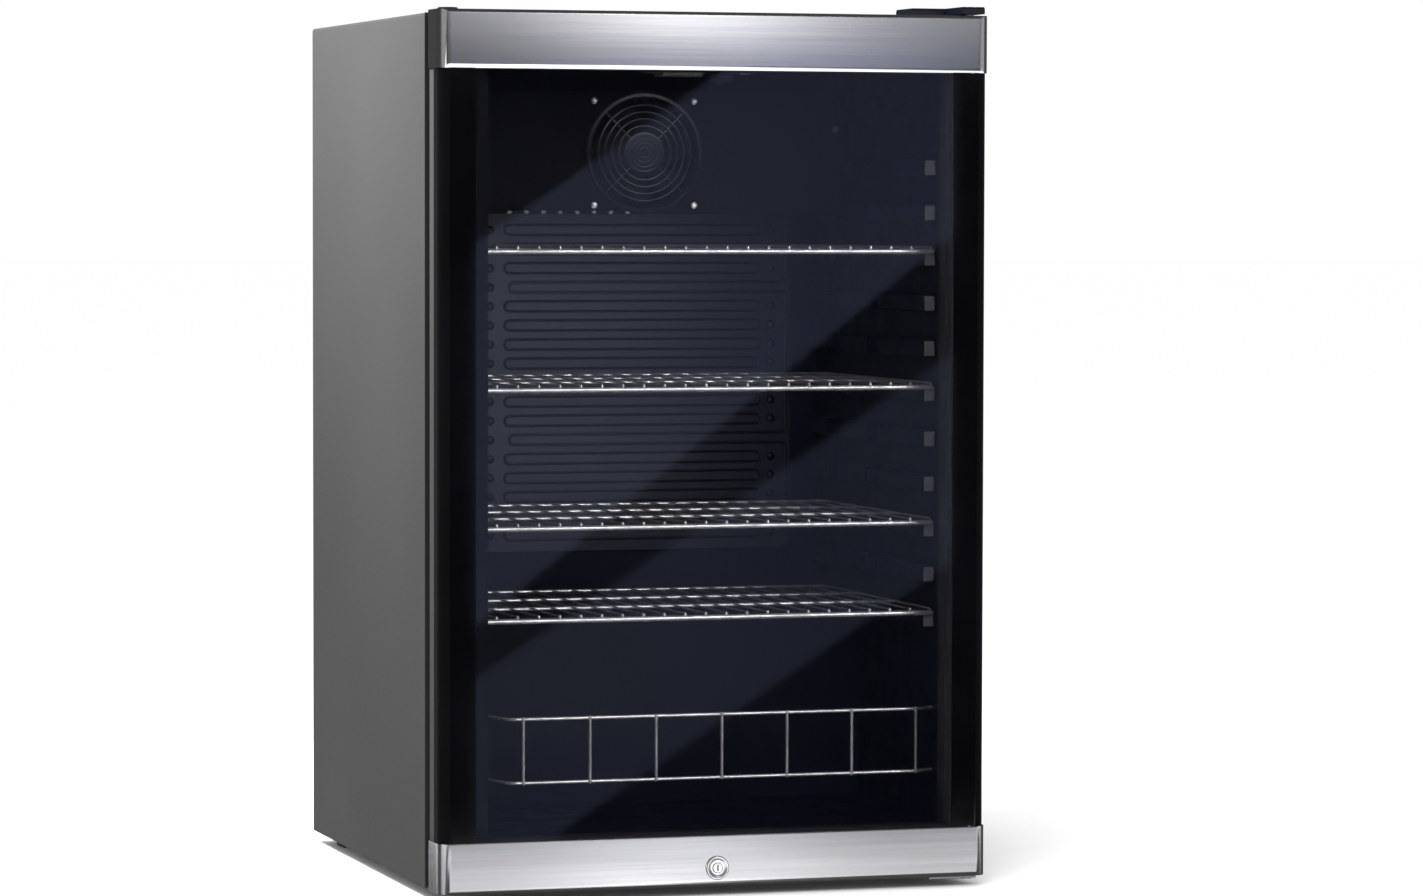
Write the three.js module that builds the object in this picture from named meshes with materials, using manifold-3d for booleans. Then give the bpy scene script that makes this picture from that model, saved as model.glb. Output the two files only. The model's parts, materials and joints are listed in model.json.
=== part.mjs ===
// Free-standing wine cooler with a glass door, wire shelves and a fan-cooled cabinet.
// Millimetres, +Z up, front face towards -Y. The origin is the centre of the footprint on the floor.
// Everything is laid out in cabinet coordinates: x = 0 on the centre line, y = 0 at the cabinet's front
// face with +y to the rear, z = 0 at the cabinet's underside. One group moves it all to the part's frame.
import * as THREE from "three";
import { mergeVertices } from "three/addons/utils/BufferGeometryUtils.js";
import Module from "manifold-3d";

const wasm = await Module();
wasm.setup();

// ---- Driving dimensions -------------------------------------------------------------------------

const GAP = 0.3; // between pieces that touch
const HALF_WIDTH = 272.5;
const HEIGHT = 825; // cabinet, without feet and hinge cover
const DEPTH = 475; // cabinet, without door and condenser
const FOOT_HEIGHT = 12;
const SHEET = 1.2; // outer steel sheet
const PANEL = 1; // folded back panel
const PAN = 2; // base pan

const WALL = 27; // side walls, liner to outside
const LINER = 2.5; // liner thickness
const ROOM = { halfX: HALF_WIDTH - WALL, floor: 46, ceiling: 790, back: 390 };
const HUMP = { front: 254, top: 240, chamfer: 8 }; // step in the liner over the compressor
const BAY = { front: 286, top: 208 }; // compressor compartment behind and below the hump

const LEDGE = { out: 12, height: 17, pitch: 44, topCentre: 682, levels: 11 };
const LEDGE_RUNS = [
  [25, 165],
  [195, 285],
  [322, 380],
]; // front and rear end of each ledge segment

const DOOR = { back: -10, front: -52, low: -1, top: 827, halfX: 271 };
const TRIM = { front: -53, back: -12.3, wall: 2.2, corner: 12, lowerTop: 47, upperLow: 772 };
const BEVEL = { depth: 1.9, height: 4.3 }; // along the lower front edge of both trims
const OPENING = { halfX: 236.5, low: TRIM.lowerTop, high: TRIM.upperLow }; // visible glass
const GLASS_OVERLAP = 10; // glass hidden under pillars and trims
const PIVOT = { x: HALF_WIDTH - 14, y: (DOOR.front + DOOR.back) / 2 };
const PIN_RADIUS = 4;

const SHELF_LEVELS = [2, 5, 8, 10]; // which ledges carry the shelves
const SHELF = { halfX: 241, front: 18, rear: 350, wire: 3, wires: 22, rows: 3, barDrop: 5 };
const GUARD = { rows: [94, 155], y: 20, uprights: 7, pitch: 66, firstX: -171.5, wire: 3.6 };

const FAN = { x: 27, z: 697.5, screwHalfPitch: 52.5, holeRadius: 58, bladeRadius: 51, hub: 17 };
const FAN_GUARD = { rings: 5, spokes: 4, hub: 21, slot: 5, pitch: 7.4, spokeAngle: 7, thick: 2.7, rim: 3 };
const FAN_FRAME = { half: 59, hole: 54, depth: 25, motor: 18, strut: 3 };
const SCREW = { head: 3.6, shank: 1.8, hole: 2.2, proud: 2, length: 14 };
const HOUSING_SCREW = { x: 230, z: 723 };
const DUCT = { halfX: 237.5, front: 288, back: 384.5, low: 636, high: 762, wall: 2, corner: 20 };
const EVAPORATOR = { halfX: 214.5, low: 290, high: 780, front: 385, thick: 2 };
const LAMP = { x: 39, halfX: 56.5, front: 84, back: 156, low: 774, slope: 8 };
const LENS = { left: -9, right: 33, front: 102, back: 138, drop: 4, slope: 6, seat: 3.5 };
const KNOB = { x: 50, y: 104, radius: 13, height: 8, spindle: 3 };
const ROCKER = { x: 80, y: 120, halfX: 5, halfY: 8, tilt: 7 };

const HINGE = { left: 218, arm: 250, right: 266, front: -42, back: 45, plate: 3, lift: 828.4 };
const HINGE_COVER = { left: 213, arm: 247, right: 269, front: -47, back: 52, wall: 1.5, chamfer: 2 };
const COVER_TOP = HEIGHT + 10.5;
const CABINET_EDGE = 3; // where the hinge plates and their cover step up off the cabinet
const LOCK = { z: 16, flange: 11.4, proud: 1.7, barrel: 9, plug: 4.5, camLength: 13.2 };
const FRONT_FOOT = { x: 225, y: 52, radius: 15, stud: 4 };
const REAR_FOOT = { x: 235, y: 430, halfX: 20, halfY: 15 };
const CONDENSER = { halfX: 243, low: 255, passes: 13, pitch: 44, y: 488, tube: 2.6, reach: 500 };
const COMPRESSOR = { x: 85, y: 388, radius: 56, seam: 3, stretch: 1.25, base: 12, height: 138 };
const TRAY = { halfX: 70, halfY: 55, wall: 2, height: 26, above: 4 }; // over the warm compressor
const DRIER = { x: -140, y: 420, low: 76, high: 167, radius: 9, neck: 3.5 };
const PIPE = { discharge: 2.6, suction: 3.5, suctionX: -60, suctionY: 430 };

const FOREMOST = TRIM.front - GAP - LOCK.proud; // the face of the lock
const REARMOST = CONDENSER.reach;
const FRAME_SHIFT_Y = -(FOREMOST + REARMOST) / 2; // brings the footprint's centre to y = 0

// ---- Materials ----------------------------------------------------------------------------------

function finish(color, roughness, metalness, extra = {}) {
  return new THREE.MeshStandardMaterial({ color, roughness, metalness, ...extra });
}

const PAINT_GREY = finish(0x6e6d6d, 0.45, 0.6);
const PAINT_BLACK = finish(0x141416, 0.5, 0.2);
const GALVANISED = finish(0x9a9c9e, 0.5, 0.8);
const BRUSHED = finish(0xb4b4b8, 0.32, 1.0);
const GLOSS_BLACK = finish(0x050506, 0.12, 0.1);
const LINER_PLASTIC = finish(0x1c1d26, 0.45, 0.0);
const DARK_PLASTIC = finish(0x17171b, 0.5, 0.0);
const GREY_PLASTIC = finish(0x33333a, 0.5, 0.0);
const WHITE_PLASTIC = finish(0xd9dadc, 0.4, 0.0);
const LENS_PLASTIC = finish(0xe8e6dc, 0.25, 0.0);
const CHROME = finish(0xd6d6da, 0.12, 1.0);
const COPPER = finish(0xb07048, 0.35, 1.0);
const COATED_ALUMINIUM = finish(0x262833, 0.4, 0.4);
const RUBBER = finish(0x0e0e0f, 0.8, 0.0);
const FOAM = finish(0xd8c98c, 0.9, 0.0);
const GLASS = finish(0x20242c, 0.05, 0.0, { transparent: true, opacity: 0.35 });

// ---- Geometry helpers ---------------------------------------------------------------------------

function block([x0, x1], [y0, y1], [z0, z1]) {
  const box = new THREE.BoxGeometry(x1 - x0, y1 - y0, z1 - z0);
  return box.translate((x0 + x1) / 2, (y0 + y1) / 2, (z0 + z1) / 2);
}

// The outline is wound anticlockwise, so that an extrusion turns its holes the right way.
function shapeOf(points, holes = []) {
  const toVectors = (list) => list.map(([u, v]) => new THREE.Vector2(u, v));
  const outline = toVectors(points);
  if (THREE.ShapeUtils.isClockWise(outline)) outline.reverse();
  const shape = new THREE.Shape(outline);
  shape.holes = holes.map((hole) => new THREE.Path(toVectors(hole)));
  return shape;
}

function extruded(shape, length) {
  return new THREE.ExtrudeGeometry(shape, { depth: length, bevelEnabled: false, curveSegments: 12 });
}

// A (y, z) outline run along x.
function alongX(points, [x0, x1], holes) {
  const turn = new THREE.Matrix4().makeBasis(
    new THREE.Vector3(0, 1, 0),
    new THREE.Vector3(0, 0, 1),
    new THREE.Vector3(1, 0, 0),
  );
  return extruded(shapeOf(points, holes), x1 - x0).applyMatrix4(turn).translate(x0, 0, 0);
}

// An (x, z) outline run along y.
function alongY(points, [y0, y1], holes) {
  const turn = new THREE.Matrix4().makeBasis(
    new THREE.Vector3(1, 0, 0),
    new THREE.Vector3(0, 0, 1),
    new THREE.Vector3(0, -1, 0),
  );
  return extruded(shapeOf(points, holes), y1 - y0).applyMatrix4(turn).translate(0, y1, 0);
}

// An (x, y) outline run along z.
function alongZ(points, [z0, z1], holes) {
  return extruded(shapeOf(points, holes), z1 - z0).translate(0, 0, z0);
}

function rectangle([u0, u1], [v0, v1]) {
  return [
    [u0, v0],
    [u1, v0],
    [u1, v1],
    [u0, v1],
  ];
}

function arc(cx, cy, radius, fromDegrees, toDegrees, steps) {
  return Array.from({ length: steps + 1 }, (_, i) => {
    const angle = THREE.MathUtils.degToRad(fromDegrees + ((toDegrees - fromDegrees) * i) / steps);
    return [cx + radius * Math.cos(angle), cy + radius * Math.sin(angle)];
  });
}

function circle(cx, cy, radius, sides) {
  return arc(cx, cy, radius, 0, 360 - 360 / sides, sides - 1);
}

// A closed round body from a (radius, height) profile, its axis turned to the given direction.
function turned(profile, sides, axis, [x, y, z]) {
  const lathe = new THREE.LatheGeometry(
    profile.map(([r, h]) => new THREE.Vector2(r, h)),
    sides,
  );
  if (axis === "z") lathe.rotateX(Math.PI / 2);
  return lathe.translate(x, y, z);
}

function rod(radius, [from, to], sides, axis, at) {
  const profile = [
    [0, from],
    [radius, from],
    [radius, to],
    [0, to],
  ];
  return turned(profile, sides, axis, at);
}

// A path through given points, sampled at exactly those points.
class PointPath extends THREE.Curve {
  constructor(points) {
    super();
    this.points = points;
  }

  index(u) {
    return Math.round(u * (this.points.length - 1));
  }

  getPointAt(u, target = new THREE.Vector3()) {
    return target.copy(this.points[this.index(u)]);
  }

  getTangentAt(u, target = new THREE.Vector3()) {
    const i = this.index(u);
    const before = this.points[Math.max(i - 1, 0)];
    const after = this.points[Math.min(i + 1, this.points.length - 1)];
    return target.subVectors(after, before).normalize();
  }
}

// Replaces each inner corner of a route by a bend.
function bent(route, radius, steps) {
  const points = route.map((p) => new THREE.Vector3(...p));
  const result = [points[0]];
  for (let i = 1; i < points.length - 1; i++) {
    const towards = (other) => {
      const reach = Math.min(radius, points[i].distanceTo(other) * 0.49);
      return points[i].clone().lerp(other, reach / points[i].distanceTo(other));
    };
    const start = towards(points[i - 1]);
    const end = towards(points[i + 1]);
    result.push(...new THREE.QuadraticBezierCurve3(start, points[i], end).getPoints(steps));
  }
  result.push(points[points.length - 1]);
  return result;
}

function tube(points, radius, sides) {
  return new THREE.ExtrudeGeometry(shapeOf(circle(0, 0, radius, sides)), {
    steps: points.length - 1,
    extrudePath: new PointPath(points),
    bevelEnabled: false,
  });
}

function solid(geometry) {
  const bare = geometry.clone();
  bare.deleteAttribute("normal");
  bare.deleteAttribute("uv");
  const merged = mergeVertices(bare, 1e-3);
  return new wasm.Manifold(
    new wasm.Mesh({
      numProp: 3,
      vertProperties: merged.attributes.position.array,
      triVerts: new Uint32Array(merged.index.array),
    }),
  );
}

function geometryOf(manifold) {
  const mesh = manifold.getMesh();
  const geometry = new THREE.BufferGeometry();
  geometry.setAttribute("position", new THREE.BufferAttribute(mesh.vertProperties, 3));
  geometry.setIndex(new THREE.BufferAttribute(mesh.triVerts, 1));
  geometry.computeVertexNormals();
  return geometry;
}

function joined(...geometries) {
  const [first, ...rest] = geometries.map(solid);
  return geometryOf(rest.reduce((sum, next) => sum.add(next), first));
}

function common(a, b) {
  return geometryOf(solid(a).intersect(solid(b)));
}

function carved(base, ...tools) {
  return geometryOf(tools.map(solid).reduce((left, tool) => left.subtract(tool), solid(base)));
}

const cooler = new THREE.Group();
const cabinet = new THREE.Group();
cabinet.position.set(0, FRAME_SHIFT_Y, FOOT_HEIGHT);
cooler.add(cabinet);

function place(name, geometry, material, parent = cabinet) {
  const mesh = new THREE.Mesh(geometry, material);
  mesh.name = name;
  parent.add(mesh);
  return mesh;
}

function mirrored(span, side) {
  return side > 0 ? span : [-span[1], -span[0]];
}

// ---- Cabinet ------------------------------------------------------------------------------------

function addOuterShell() {
  const corner = 3;
  const outer = [
    [-HALF_WIDTH, 0],
    ...arc(-HALF_WIDTH + corner, HEIGHT - corner, corner, 180, 90, 4),
    ...arc(HALF_WIDTH - corner, HEIGHT - corner, corner, 90, 0, 4),
    [HALF_WIDTH, 0],
  ];
  const innerX = HALF_WIDTH - SHEET;
  const innerZ = HEIGHT - SHEET;
  const inner = [
    [innerX, 0],
    ...arc(innerX - corner + SHEET, innerZ - corner + SHEET, corner - SHEET, 0, 90, 4),
    ...arc(-innerX + corner - SHEET, innerZ - corner + SHEET, corner - SHEET, 90, 180, 4),
    [-innerX, 0],
  ];
  place("outer_shell", alongY([...outer, ...inner], [SHEET + GAP, DEPTH]), PAINT_GREY);
}

function addFrontFrame() {
  const outline = rectangle([-HALF_WIDTH, HALF_WIDTH], [0, HEIGHT]);
  const opening = rectangle([-ROOM.halfX, ROOM.halfX], [ROOM.floor, ROOM.ceiling]);
  place("front_frame", alongY(outline, [0, SHEET], [opening]), PAINT_BLACK);
}

function addBackPanel() {
  const rear = DEPTH - 0.1;
  const low = PAN + 0.4;
  const top = HEIGHT - 2 * SHEET;
  const profile = [
    [rear, top],
    [rear, BAY.top],
    [BAY.front, BAY.top],
    [BAY.front, low],
    [BAY.front - PANEL, low],
    [BAY.front - PANEL, BAY.top + PANEL],
    [rear - PANEL, BAY.top + PANEL],
    [rear - PANEL, top],
  ];
  const halfX = HALF_WIDTH - SHEET - GAP;
  place("back_panel", alongX(profile, [-halfX, halfX]), GALVANISED);
}

function addBasePan() {
  const halfX = HALF_WIDTH - SHEET - GAP;
  const footHoles = [-1, 1].map((side) => circle(side * FRONT_FOOT.x, FRONT_FOOT.y, 5, 8));
  const plate = alongZ(rectangle([-halfX, halfX], [2, DEPTH - 1]), [0, PAN], footHoles);
  place("base_pan", plate, GALVANISED);
}

function roomProfile(offset, front) {
  const { floor, ceiling, back } = ROOM;
  return [
    [front, floor - offset],
    [HUMP.front + offset, floor - offset],
    [HUMP.front + offset, HUMP.top - HUMP.chamfer - offset],
    [HUMP.front + HUMP.chamfer + offset, HUMP.top - offset],
    [back + offset, HUMP.top - offset],
    [back + offset, ceiling + offset],
    [front, ceiling + offset],
  ];
}

function ledgeTop(level) {
  return LEDGE.topCentre - level * LEDGE.pitch + LEDGE.height / 2;
}

function ledgeBlocks() {
  const blocks = [];
  for (const side of [-1, 1])
    for (let level = 0; level < LEDGE.levels; level++)
      for (const run of LEDGE_RUNS) {
        const spanX = mirrored([ROOM.halfX - LEDGE.out, ROOM.halfX + 1], side);
        const top = ledgeTop(level);
        const behindDuct = top > DUCT.low && run[1] > DUCT.front;
        if (behindDuct) continue;
        const lowest = run[1] > HUMP.front ? HUMP.top - 1 : 0;
        blocks.push(block(spanX, run, [Math.max(top - LEDGE.height, lowest), top]));
      }
  return blocks;
}

function addInnerLiner() {
  const outerX = ROOM.halfX + LINER;
  const skin = alongX(roomProfile(LINER, SHEET + GAP), [-outerX, outerX]);
  const room = alongX(roomProfile(0, -5), [-ROOM.halfX, ROOM.halfX]);
  place("inner_liner", joined(carved(skin, room), ...ledgeBlocks()), LINER_PLASTIC);
}

function addFoam() {
  const front = SHEET + 2 * GAP;
  const floor = PAN + 2 * GAP;
  const ceiling = HEIGHT - SHEET - 2 * GAP;
  const overBay = BAY.top + PANEL + GAP;
  const beforeBay = BAY.front - PANEL - GAP;
  const rear = DEPTH - PANEL - 0.1 - GAP;
  const profile = [
    [front, floor],
    [beforeBay, floor],
    [beforeBay, overBay],
    [rear, overBay],
    [rear, ceiling],
    [front, ceiling],
  ];
  const halfX = HALF_WIDTH - SHEET - 5;
  const hollowX = ROOM.halfX + LINER + GAP;
  const hollow = alongX(roomProfile(LINER + GAP, -5), [-hollowX, hollowX]);
  place("foam_insulation", carved(alongX(profile, [-halfX, halfX]), hollow), FOAM);
}

function addFeet() {
  const { x, y, radius, stud } = FRONT_FOOT;
  const profile = [
    [0, -FOOT_HEIGHT],
    [radius - 2, -FOOT_HEIGHT],
    [radius, -FOOT_HEIGHT + 2],
    [radius, -5],
    [stud, -3],
    [stud, PAN - 0.2],
    [0, PAN - 0.2],
  ];
  for (const [name, side] of [["left", -1], ["right", 1]]) {
    place(`front_foot_${name}`, turned(profile, 12, "z", [side * x, y, 0]), DARK_PLASTIC);
    const spanX = mirrored([REAR_FOOT.x - REAR_FOOT.halfX, REAR_FOOT.x + REAR_FOOT.halfX], side);
    const spanY = [REAR_FOOT.y - REAR_FOOT.halfY, REAR_FOOT.y + REAR_FOOT.halfY];
    place(`rear_foot_${name}`, block(spanX, spanY, [-FOOT_HEIGHT, -GAP]), DARK_PLASTIC);
  }
}

// ---- Inside the cabinet -------------------------------------------------------------------------

function addEvaporator() {
  const { halfX, low, high, front, thick } = EVAPORATOR;
  const corner = 12;
  const outline = [
    ...arc(-halfX + corner, low + corner, corner, 180, 270, 3),
    ...arc(halfX - corner, low + corner, corner, 270, 360, 3),
    ...arc(halfX - corner, high - corner, corner, 0, 90, 3),
    ...arc(-halfX + corner, high - corner, corner, 90, 180, 3),
  ];
  place("evaporator_plate", alongY(outline, [front, front + thick]), COATED_ALUMINIUM);
}

function ductOutline(inset) {
  const { halfX, low, high, corner } = DUCT;
  const x = halfX - inset;
  const radius = corner - inset;
  return [
    [-x, low + inset],
    [x, low + inset],
    ...arc(halfX - corner, high - corner, radius, 0, 90, 4),
    ...arc(-halfX + corner, high - corner, radius, 90, 180, 4),
  ];
}

function fanScrewPlaces() {
  const h = FAN.screwHalfPitch;
  return [
    [FAN.x - h, FAN.z + h],
    [FAN.x + h, FAN.z + h],
    [FAN.x - h, FAN.z - h],
    [FAN.x + h, FAN.z - h],
  ];
}

function addDuct() {
  const { front, back, wall } = DUCT;
  const shell = alongY(ductOutline(0), [front, back]);
  const hollow = alongY(ductOutline(wall), [front + wall, back + 5]);
  const fanHole = rod(FAN.holeRadius, [front - 5, front + 5], 24, "y", [FAN.x, 0, FAN.z]);
  const screwHoles = [...fanScrewPlaces(), [HOUSING_SCREW.x, HOUSING_SCREW.z]].map(([x, z]) =>
    rod(SCREW.hole, [front - 5, front + 5], 6, "y", [x, 0, z]),
  );
  const slotPitch = 15;
  const slots = Array.from({ length: 10 }, (_, i) => {
    const x = -212 + i * slotPitch;
    return block([x, x + 9], [front - 5, front + 5], [DUCT.low + 5, DUCT.low + 8]);
  });
  const duct = carved(shell, hollow, fanHole, ...screwHoles, ...slots);
  place("fan_housing", duct, DARK_PLASTIC);
}

// A disc with ring-shaped slots, which leave concentric rings joined by spokes on the diagonals.
function addFanGuard() {
  const { rings, spokes, hub, slot, pitch, spokeAngle, thick, rim } = FAN_GUARD;
  const sector = 360 / spokes;
  const slots = [];
  for (let ring = 0; ring < rings; ring++)
    for (let spoke = 0; spoke < spokes; spoke++) {
      const low = hub + ring * pitch;
      const from = sector * (spoke + 0.5) + spokeAngle;
      const to = sector * (spoke + 1.5) - spokeAngle;
      slots.push([...arc(FAN.x, FAN.z, low + slot, from, to, 6), ...arc(FAN.x, FAN.z, low, to, from, 6)]);
    }
  const disc = circle(FAN.x, FAN.z, FAN.holeRadius + rim, 32);
  place("fan_guard", alongY(disc, [DUCT.front - GAP - thick, DUCT.front - GAP], slots), DARK_PLASTIC);
}

function addFan() {
  const centre = [FAN.x, 0, FAN.z];
  const front = DUCT.front + DUCT.wall + GAP;
  const { half, hole, depth, motor: motorRadius, strut } = FAN_FRAME;
  const strutSpan = [front + depth - 5, front + depth - 1];
  const frame = alongY(
    rectangle([FAN.x - half, FAN.x + half], [FAN.z - half, FAN.z + half]),
    [front, front + depth],
    [circle(FAN.x, FAN.z, hole, 24)],
  );
  const motor = rod(motorRadius, [front + depth - 9, front + depth], 16, "y", centre);
  const reach = hole + 2;
  const level = block([FAN.x - reach, FAN.x + reach], strutSpan, [FAN.z - strut, FAN.z + strut]);
  const upright = block([FAN.x - strut, FAN.x + strut], strutSpan, [FAN.z - reach, FAN.z + reach]);
  const screwHoles = fanScrewPlaces().map(([x, z]) =>
    rod(SCREW.hole, [front - 2, front + 12], 6, "y", [x, 0, z]),
  );
  place("fan_motor", carved(joined(frame, motor, level, upright), ...screwHoles), DARK_PLASTIC);

  const blades = Array.from({ length: 7 }, (_, i) => {
    const blade = block([FAN.hub - 3, FAN.bladeRadius], [-1, 1], [-12, 12]);
    blade.rotateX(THREE.MathUtils.degToRad(32));
    blade.rotateY((i * 2 * Math.PI) / 7);
    return blade.translate(FAN.x, front + 8.2, FAN.z);
  });
  const hub = rod(FAN.hub, [front + 2, front + 15], 20, "y", centre);
  place("fan_blades", joined(hub, ...blades), GREY_PLASTIC);
}

function addScrews() {
  const head = DUCT.front - SCREW.proud;
  const end = head + SCREW.length;
  const profile = [
    [0, head],
    [SCREW.head, head],
    [SCREW.head, DUCT.front - GAP],
    [SCREW.shank, DUCT.front - GAP],
    [SCREW.shank, end],
    [0, end],
  ];
  const addScrew = (name, x, z) => place(name, turned(profile, 8, "y", [x, 0, z]), CHROME);
  fanScrewPlaces().forEach(([x, z], i) => addScrew(`fan_screw_${i + 1}`, x, z));
  addScrew("housing_screw", HOUSING_SCREW.x, HOUSING_SCREW.z);
}

function addLamp() {
  const { x, halfX, front, back, low, slope } = LAMP;
  const ceiling = ROOM.ceiling - GAP;
  const body = alongX(
    [
      [front, ceiling],
      [front + slope, low],
      [back - slope, low],
      [back, ceiling],
    ],
    [x - halfX, x + halfX],
  );
  const lensPocket = block([LENS.left, LENS.right], [LENS.front, LENS.back], [low - 1, low + 4]);
  const { x: rx, y: ry, halfX: rhx, halfY: rhy } = ROCKER;
  const rockerPocket = block([rx - rhx - 1, rx + rhx + 1], [ry - rhy - 1, ry + rhy + 1], [low - 1, low + 9]);
  const spindleHole = rod(KNOB.spindle + 0.4, [low - 1, low + 6], 10, "z", [KNOB.x, KNOB.y, 0]);
  place("lamp_housing", carved(body, lensPocket, rockerPocket, spindleHole), DARK_PLASTIC);

  const lens = alongX(
    [
      [LENS.front + GAP, low + LENS.seat],
      [LENS.front + GAP, low - 1],
      [LENS.front + LENS.slope, low - LENS.drop],
      [LENS.back - LENS.slope, low - LENS.drop],
      [LENS.back - GAP, low - 1],
      [LENS.back - GAP, low + LENS.seat],
    ],
    [LENS.left + GAP, LENS.right - GAP],
  );
  place("lamp_lens", lens, LENS_PLASTIC);

  const knob = joined(
    rod(KNOB.radius, [low - KNOB.height, low - 2], 20, "z", [KNOB.x, KNOB.y, 0]),
    rod(KNOB.spindle, [low - 3, low + 5], 10, "z", [KNOB.x, KNOB.y, 0]),
    block(
      [KNOB.x - 2, KNOB.x + 2],
      [KNOB.y - KNOB.radius + 1, KNOB.y + KNOB.radius - 1],
      [low - KNOB.height - 3, low - KNOB.height + 1],
    ),
  );
  place("thermostat_knob", knob, GREY_PLASTIC);

  const rocker = alongX(
    [
      [-rhy, -1],
      [0, -2.8],
      [rhy, -1],
      [rhy, 2],
      [-rhy, 2],
    ],
    [-rhx, rhx],
  );
  rocker.rotateX(THREE.MathUtils.degToRad(ROCKER.tilt));
  place("light_switch", rocker.translate(rx, ry, low + 2), WHITE_PLASTIC);
}

// Long wires run front to back between equally spaced cross bars; the front bar hangs lower.
function addShelf(name, level) {
  const { halfX, front, rear, wire, wires, rows, barDrop } = SHELF;
  const low = ledgeTop(level) + GAP;
  const pitchX = (2 * halfX - wire) / (wires + 1);
  const pitchY = (rear - wire - front) / rows;
  const gaps = [];
  for (let row = 0; row < rows; row++)
    for (let i = 0; i <= wires; i++) {
      const left = -halfX + wire + i * pitchX;
      const near = front + wire + row * pitchY;
      const spanX = [left, left + pitchX - wire];
      gaps.push(block(spanX, [near, near + pitchY - wire], [low - 1, low + wire + 1]));
    }
  const grid = carved(block([-halfX, halfX], [front, rear], [low, low + wire]), ...gaps);
  const bar = block([-halfX, halfX], [front, front + 4.5], [low - barDrop, low + 1]);
  place(name, joined(grid, bar), CHROME);
}

// A wire fence across the floor; its left end is set back before it reaches the wall.
function addBottleGuard() {
  const { rows, y, uprights, pitch, firstX, wire } = GUARD;
  const leftEnd = firstX - 14;
  const rightEnd = firstX + (uprights - 1) * pitch + 8;
  const wallX = ROOM.halfX - 0.5;
  const rails = rows.map((z) =>
    tube(
      bent(
        [
          [-wallX, y + 42, z],
          [leftEnd - 10, y + 42, z],
          [leftEnd, y, z],
          [rightEnd, y, z],
          [rightEnd + 6, y + 10, z],
          [wallX, y + 10, z],
        ],
        8,
        3,
      ),
      wire / 2,
      6,
    ),
  );
  const posts = Array.from({ length: uprights }, (_, i) =>
    rod(wire / 2, [rows[0], rows[1]], 6, "z", [firstX + i * pitch, y - 1, 0]),
  );
  place("bottle_guard", joined(...rails, ...posts), CHROME);
}

// ---- Door ---------------------------------------------------------------------------------------

const door = new THREE.Group();
cabinet.add(door);

function frameOutline(extra) {
  const halfX = OPENING.halfX + extra;
  return rectangle([-halfX, halfX], [OPENING.low - extra, OPENING.high + extra]);
}

function addGlazing() {
  const edge = frameOutline(GLASS_OVERLAP);
  const opening = frameOutline(0);
  place("outer_glass", alongY(edge, [-50.5, -46.5]), GLASS, door);
  place("glazing_spacer", alongY(edge, [-46.2, -34.2], [opening]), GREY_PLASTIC, door);
  place("inner_glass", alongY(edge, [-33.9, -29.9]), GLASS, door);

  const collar = alongY(edge, [-29.6, DOOR.back], [opening]);
  const flangeOuter = rectangle([-268, 268], [DOOR.low + 2, DOOR.top - 3]);
  const flange = alongY(flangeOuter, [-11.7, DOOR.back], [opening]);
  const plugHole = rod(LOCK.plug + 1, [-20, 0], 12, "y", [0, 0, LOCK.z]);
  place("door_inner_frame", carved(joined(collar, flange), plugHole), GREY_PLASTIC, door);
}

// A hollow extrusion with a rounded outer edge and a lip over the glass.
function addPillar(name, side) {
  const inner = OPENING.halfX + GLASS_OVERLAP + 1;
  const corner = 12;
  const wall = 2;
  const lip = DOOR.front + 1.2;
  const back = -12;
  const edgeRound = (radius, from, to) =>
    arc(DOOR.halfX - corner, DOOR.front + corner, radius, from, to, 6);
  const outer = [
    [OPENING.halfX, lip],
    [OPENING.halfX, DOOR.front],
    ...edgeRound(corner, -90, 0),
    [DOOR.halfX, back],
    [inner, back],
    [inner, lip],
  ];
  const hollow = [
    [inner + wall, DOOR.front + wall],
    ...edgeRound(corner - wall, -90, 0),
    [DOOR.halfX - wall, back - wall],
    [inner + wall, back - wall],
  ];
  const flip = ([x, y]) => [side * x, y];
  const span = [TRIM.lowerTop + GAP, TRIM.upperLow - GAP];
  place(name, alongZ(outer.map(flip), span, [hollow.map(flip)]), GLOSS_BLACK, door);
}

function bushHole(x) {
  return rod(8.3, [DOOR.low - 5, DOOR.top + 5], 16, "z", [x, PIVOT.y, 0]);
}

// The plan of a trim with rounded front corners; inset by the wall, it is the plan of its hollow,
// which runs out through the back.
function trimPlan(inset) {
  const { front, back, corner } = TRIM;
  const halfX = HALF_WIDTH - inset;
  const end = inset > 0 ? back + 5 : back;
  return [
    [-halfX, end],
    ...arc(-HALF_WIDTH + corner, front + corner, corner - inset, 180, 270, 6),
    ...arc(HALF_WIDTH - corner, front + corner, corner - inset, 270, 360, 6),
    [halfX, end],
  ];
}

function trimBody(profile, [low, high]) {
  return common(alongX(profile, [-HALF_WIDTH - 1, HALF_WIDTH + 1]), alongZ(trimPlan(0), [low - 1, high + 1]));
}

// A hood open below and behind, with a bevel along the lower edge of its face.
function addUpperTrim() {
  const { front, wall, upperLow } = TRIM;
  const { top } = DOOR;
  const profile = [
    [0, top],
    ...arc(front + 4, top - 4, 4, 90, 180, 4),
    [front, upperLow + BEVEL.height],
    [front + BEVEL.depth, upperLow],
    [0, upperLow],
  ];
  const hollow = alongZ(trimPlan(wall), [upperLow - 5, top - wall]);
  const body = trimBody(profile, [upperLow, top]);
  place("top_trim", carved(body, hollow, bushHole(PIVOT.x), bushHole(-PIVOT.x)), BRUSHED, door);
}

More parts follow.
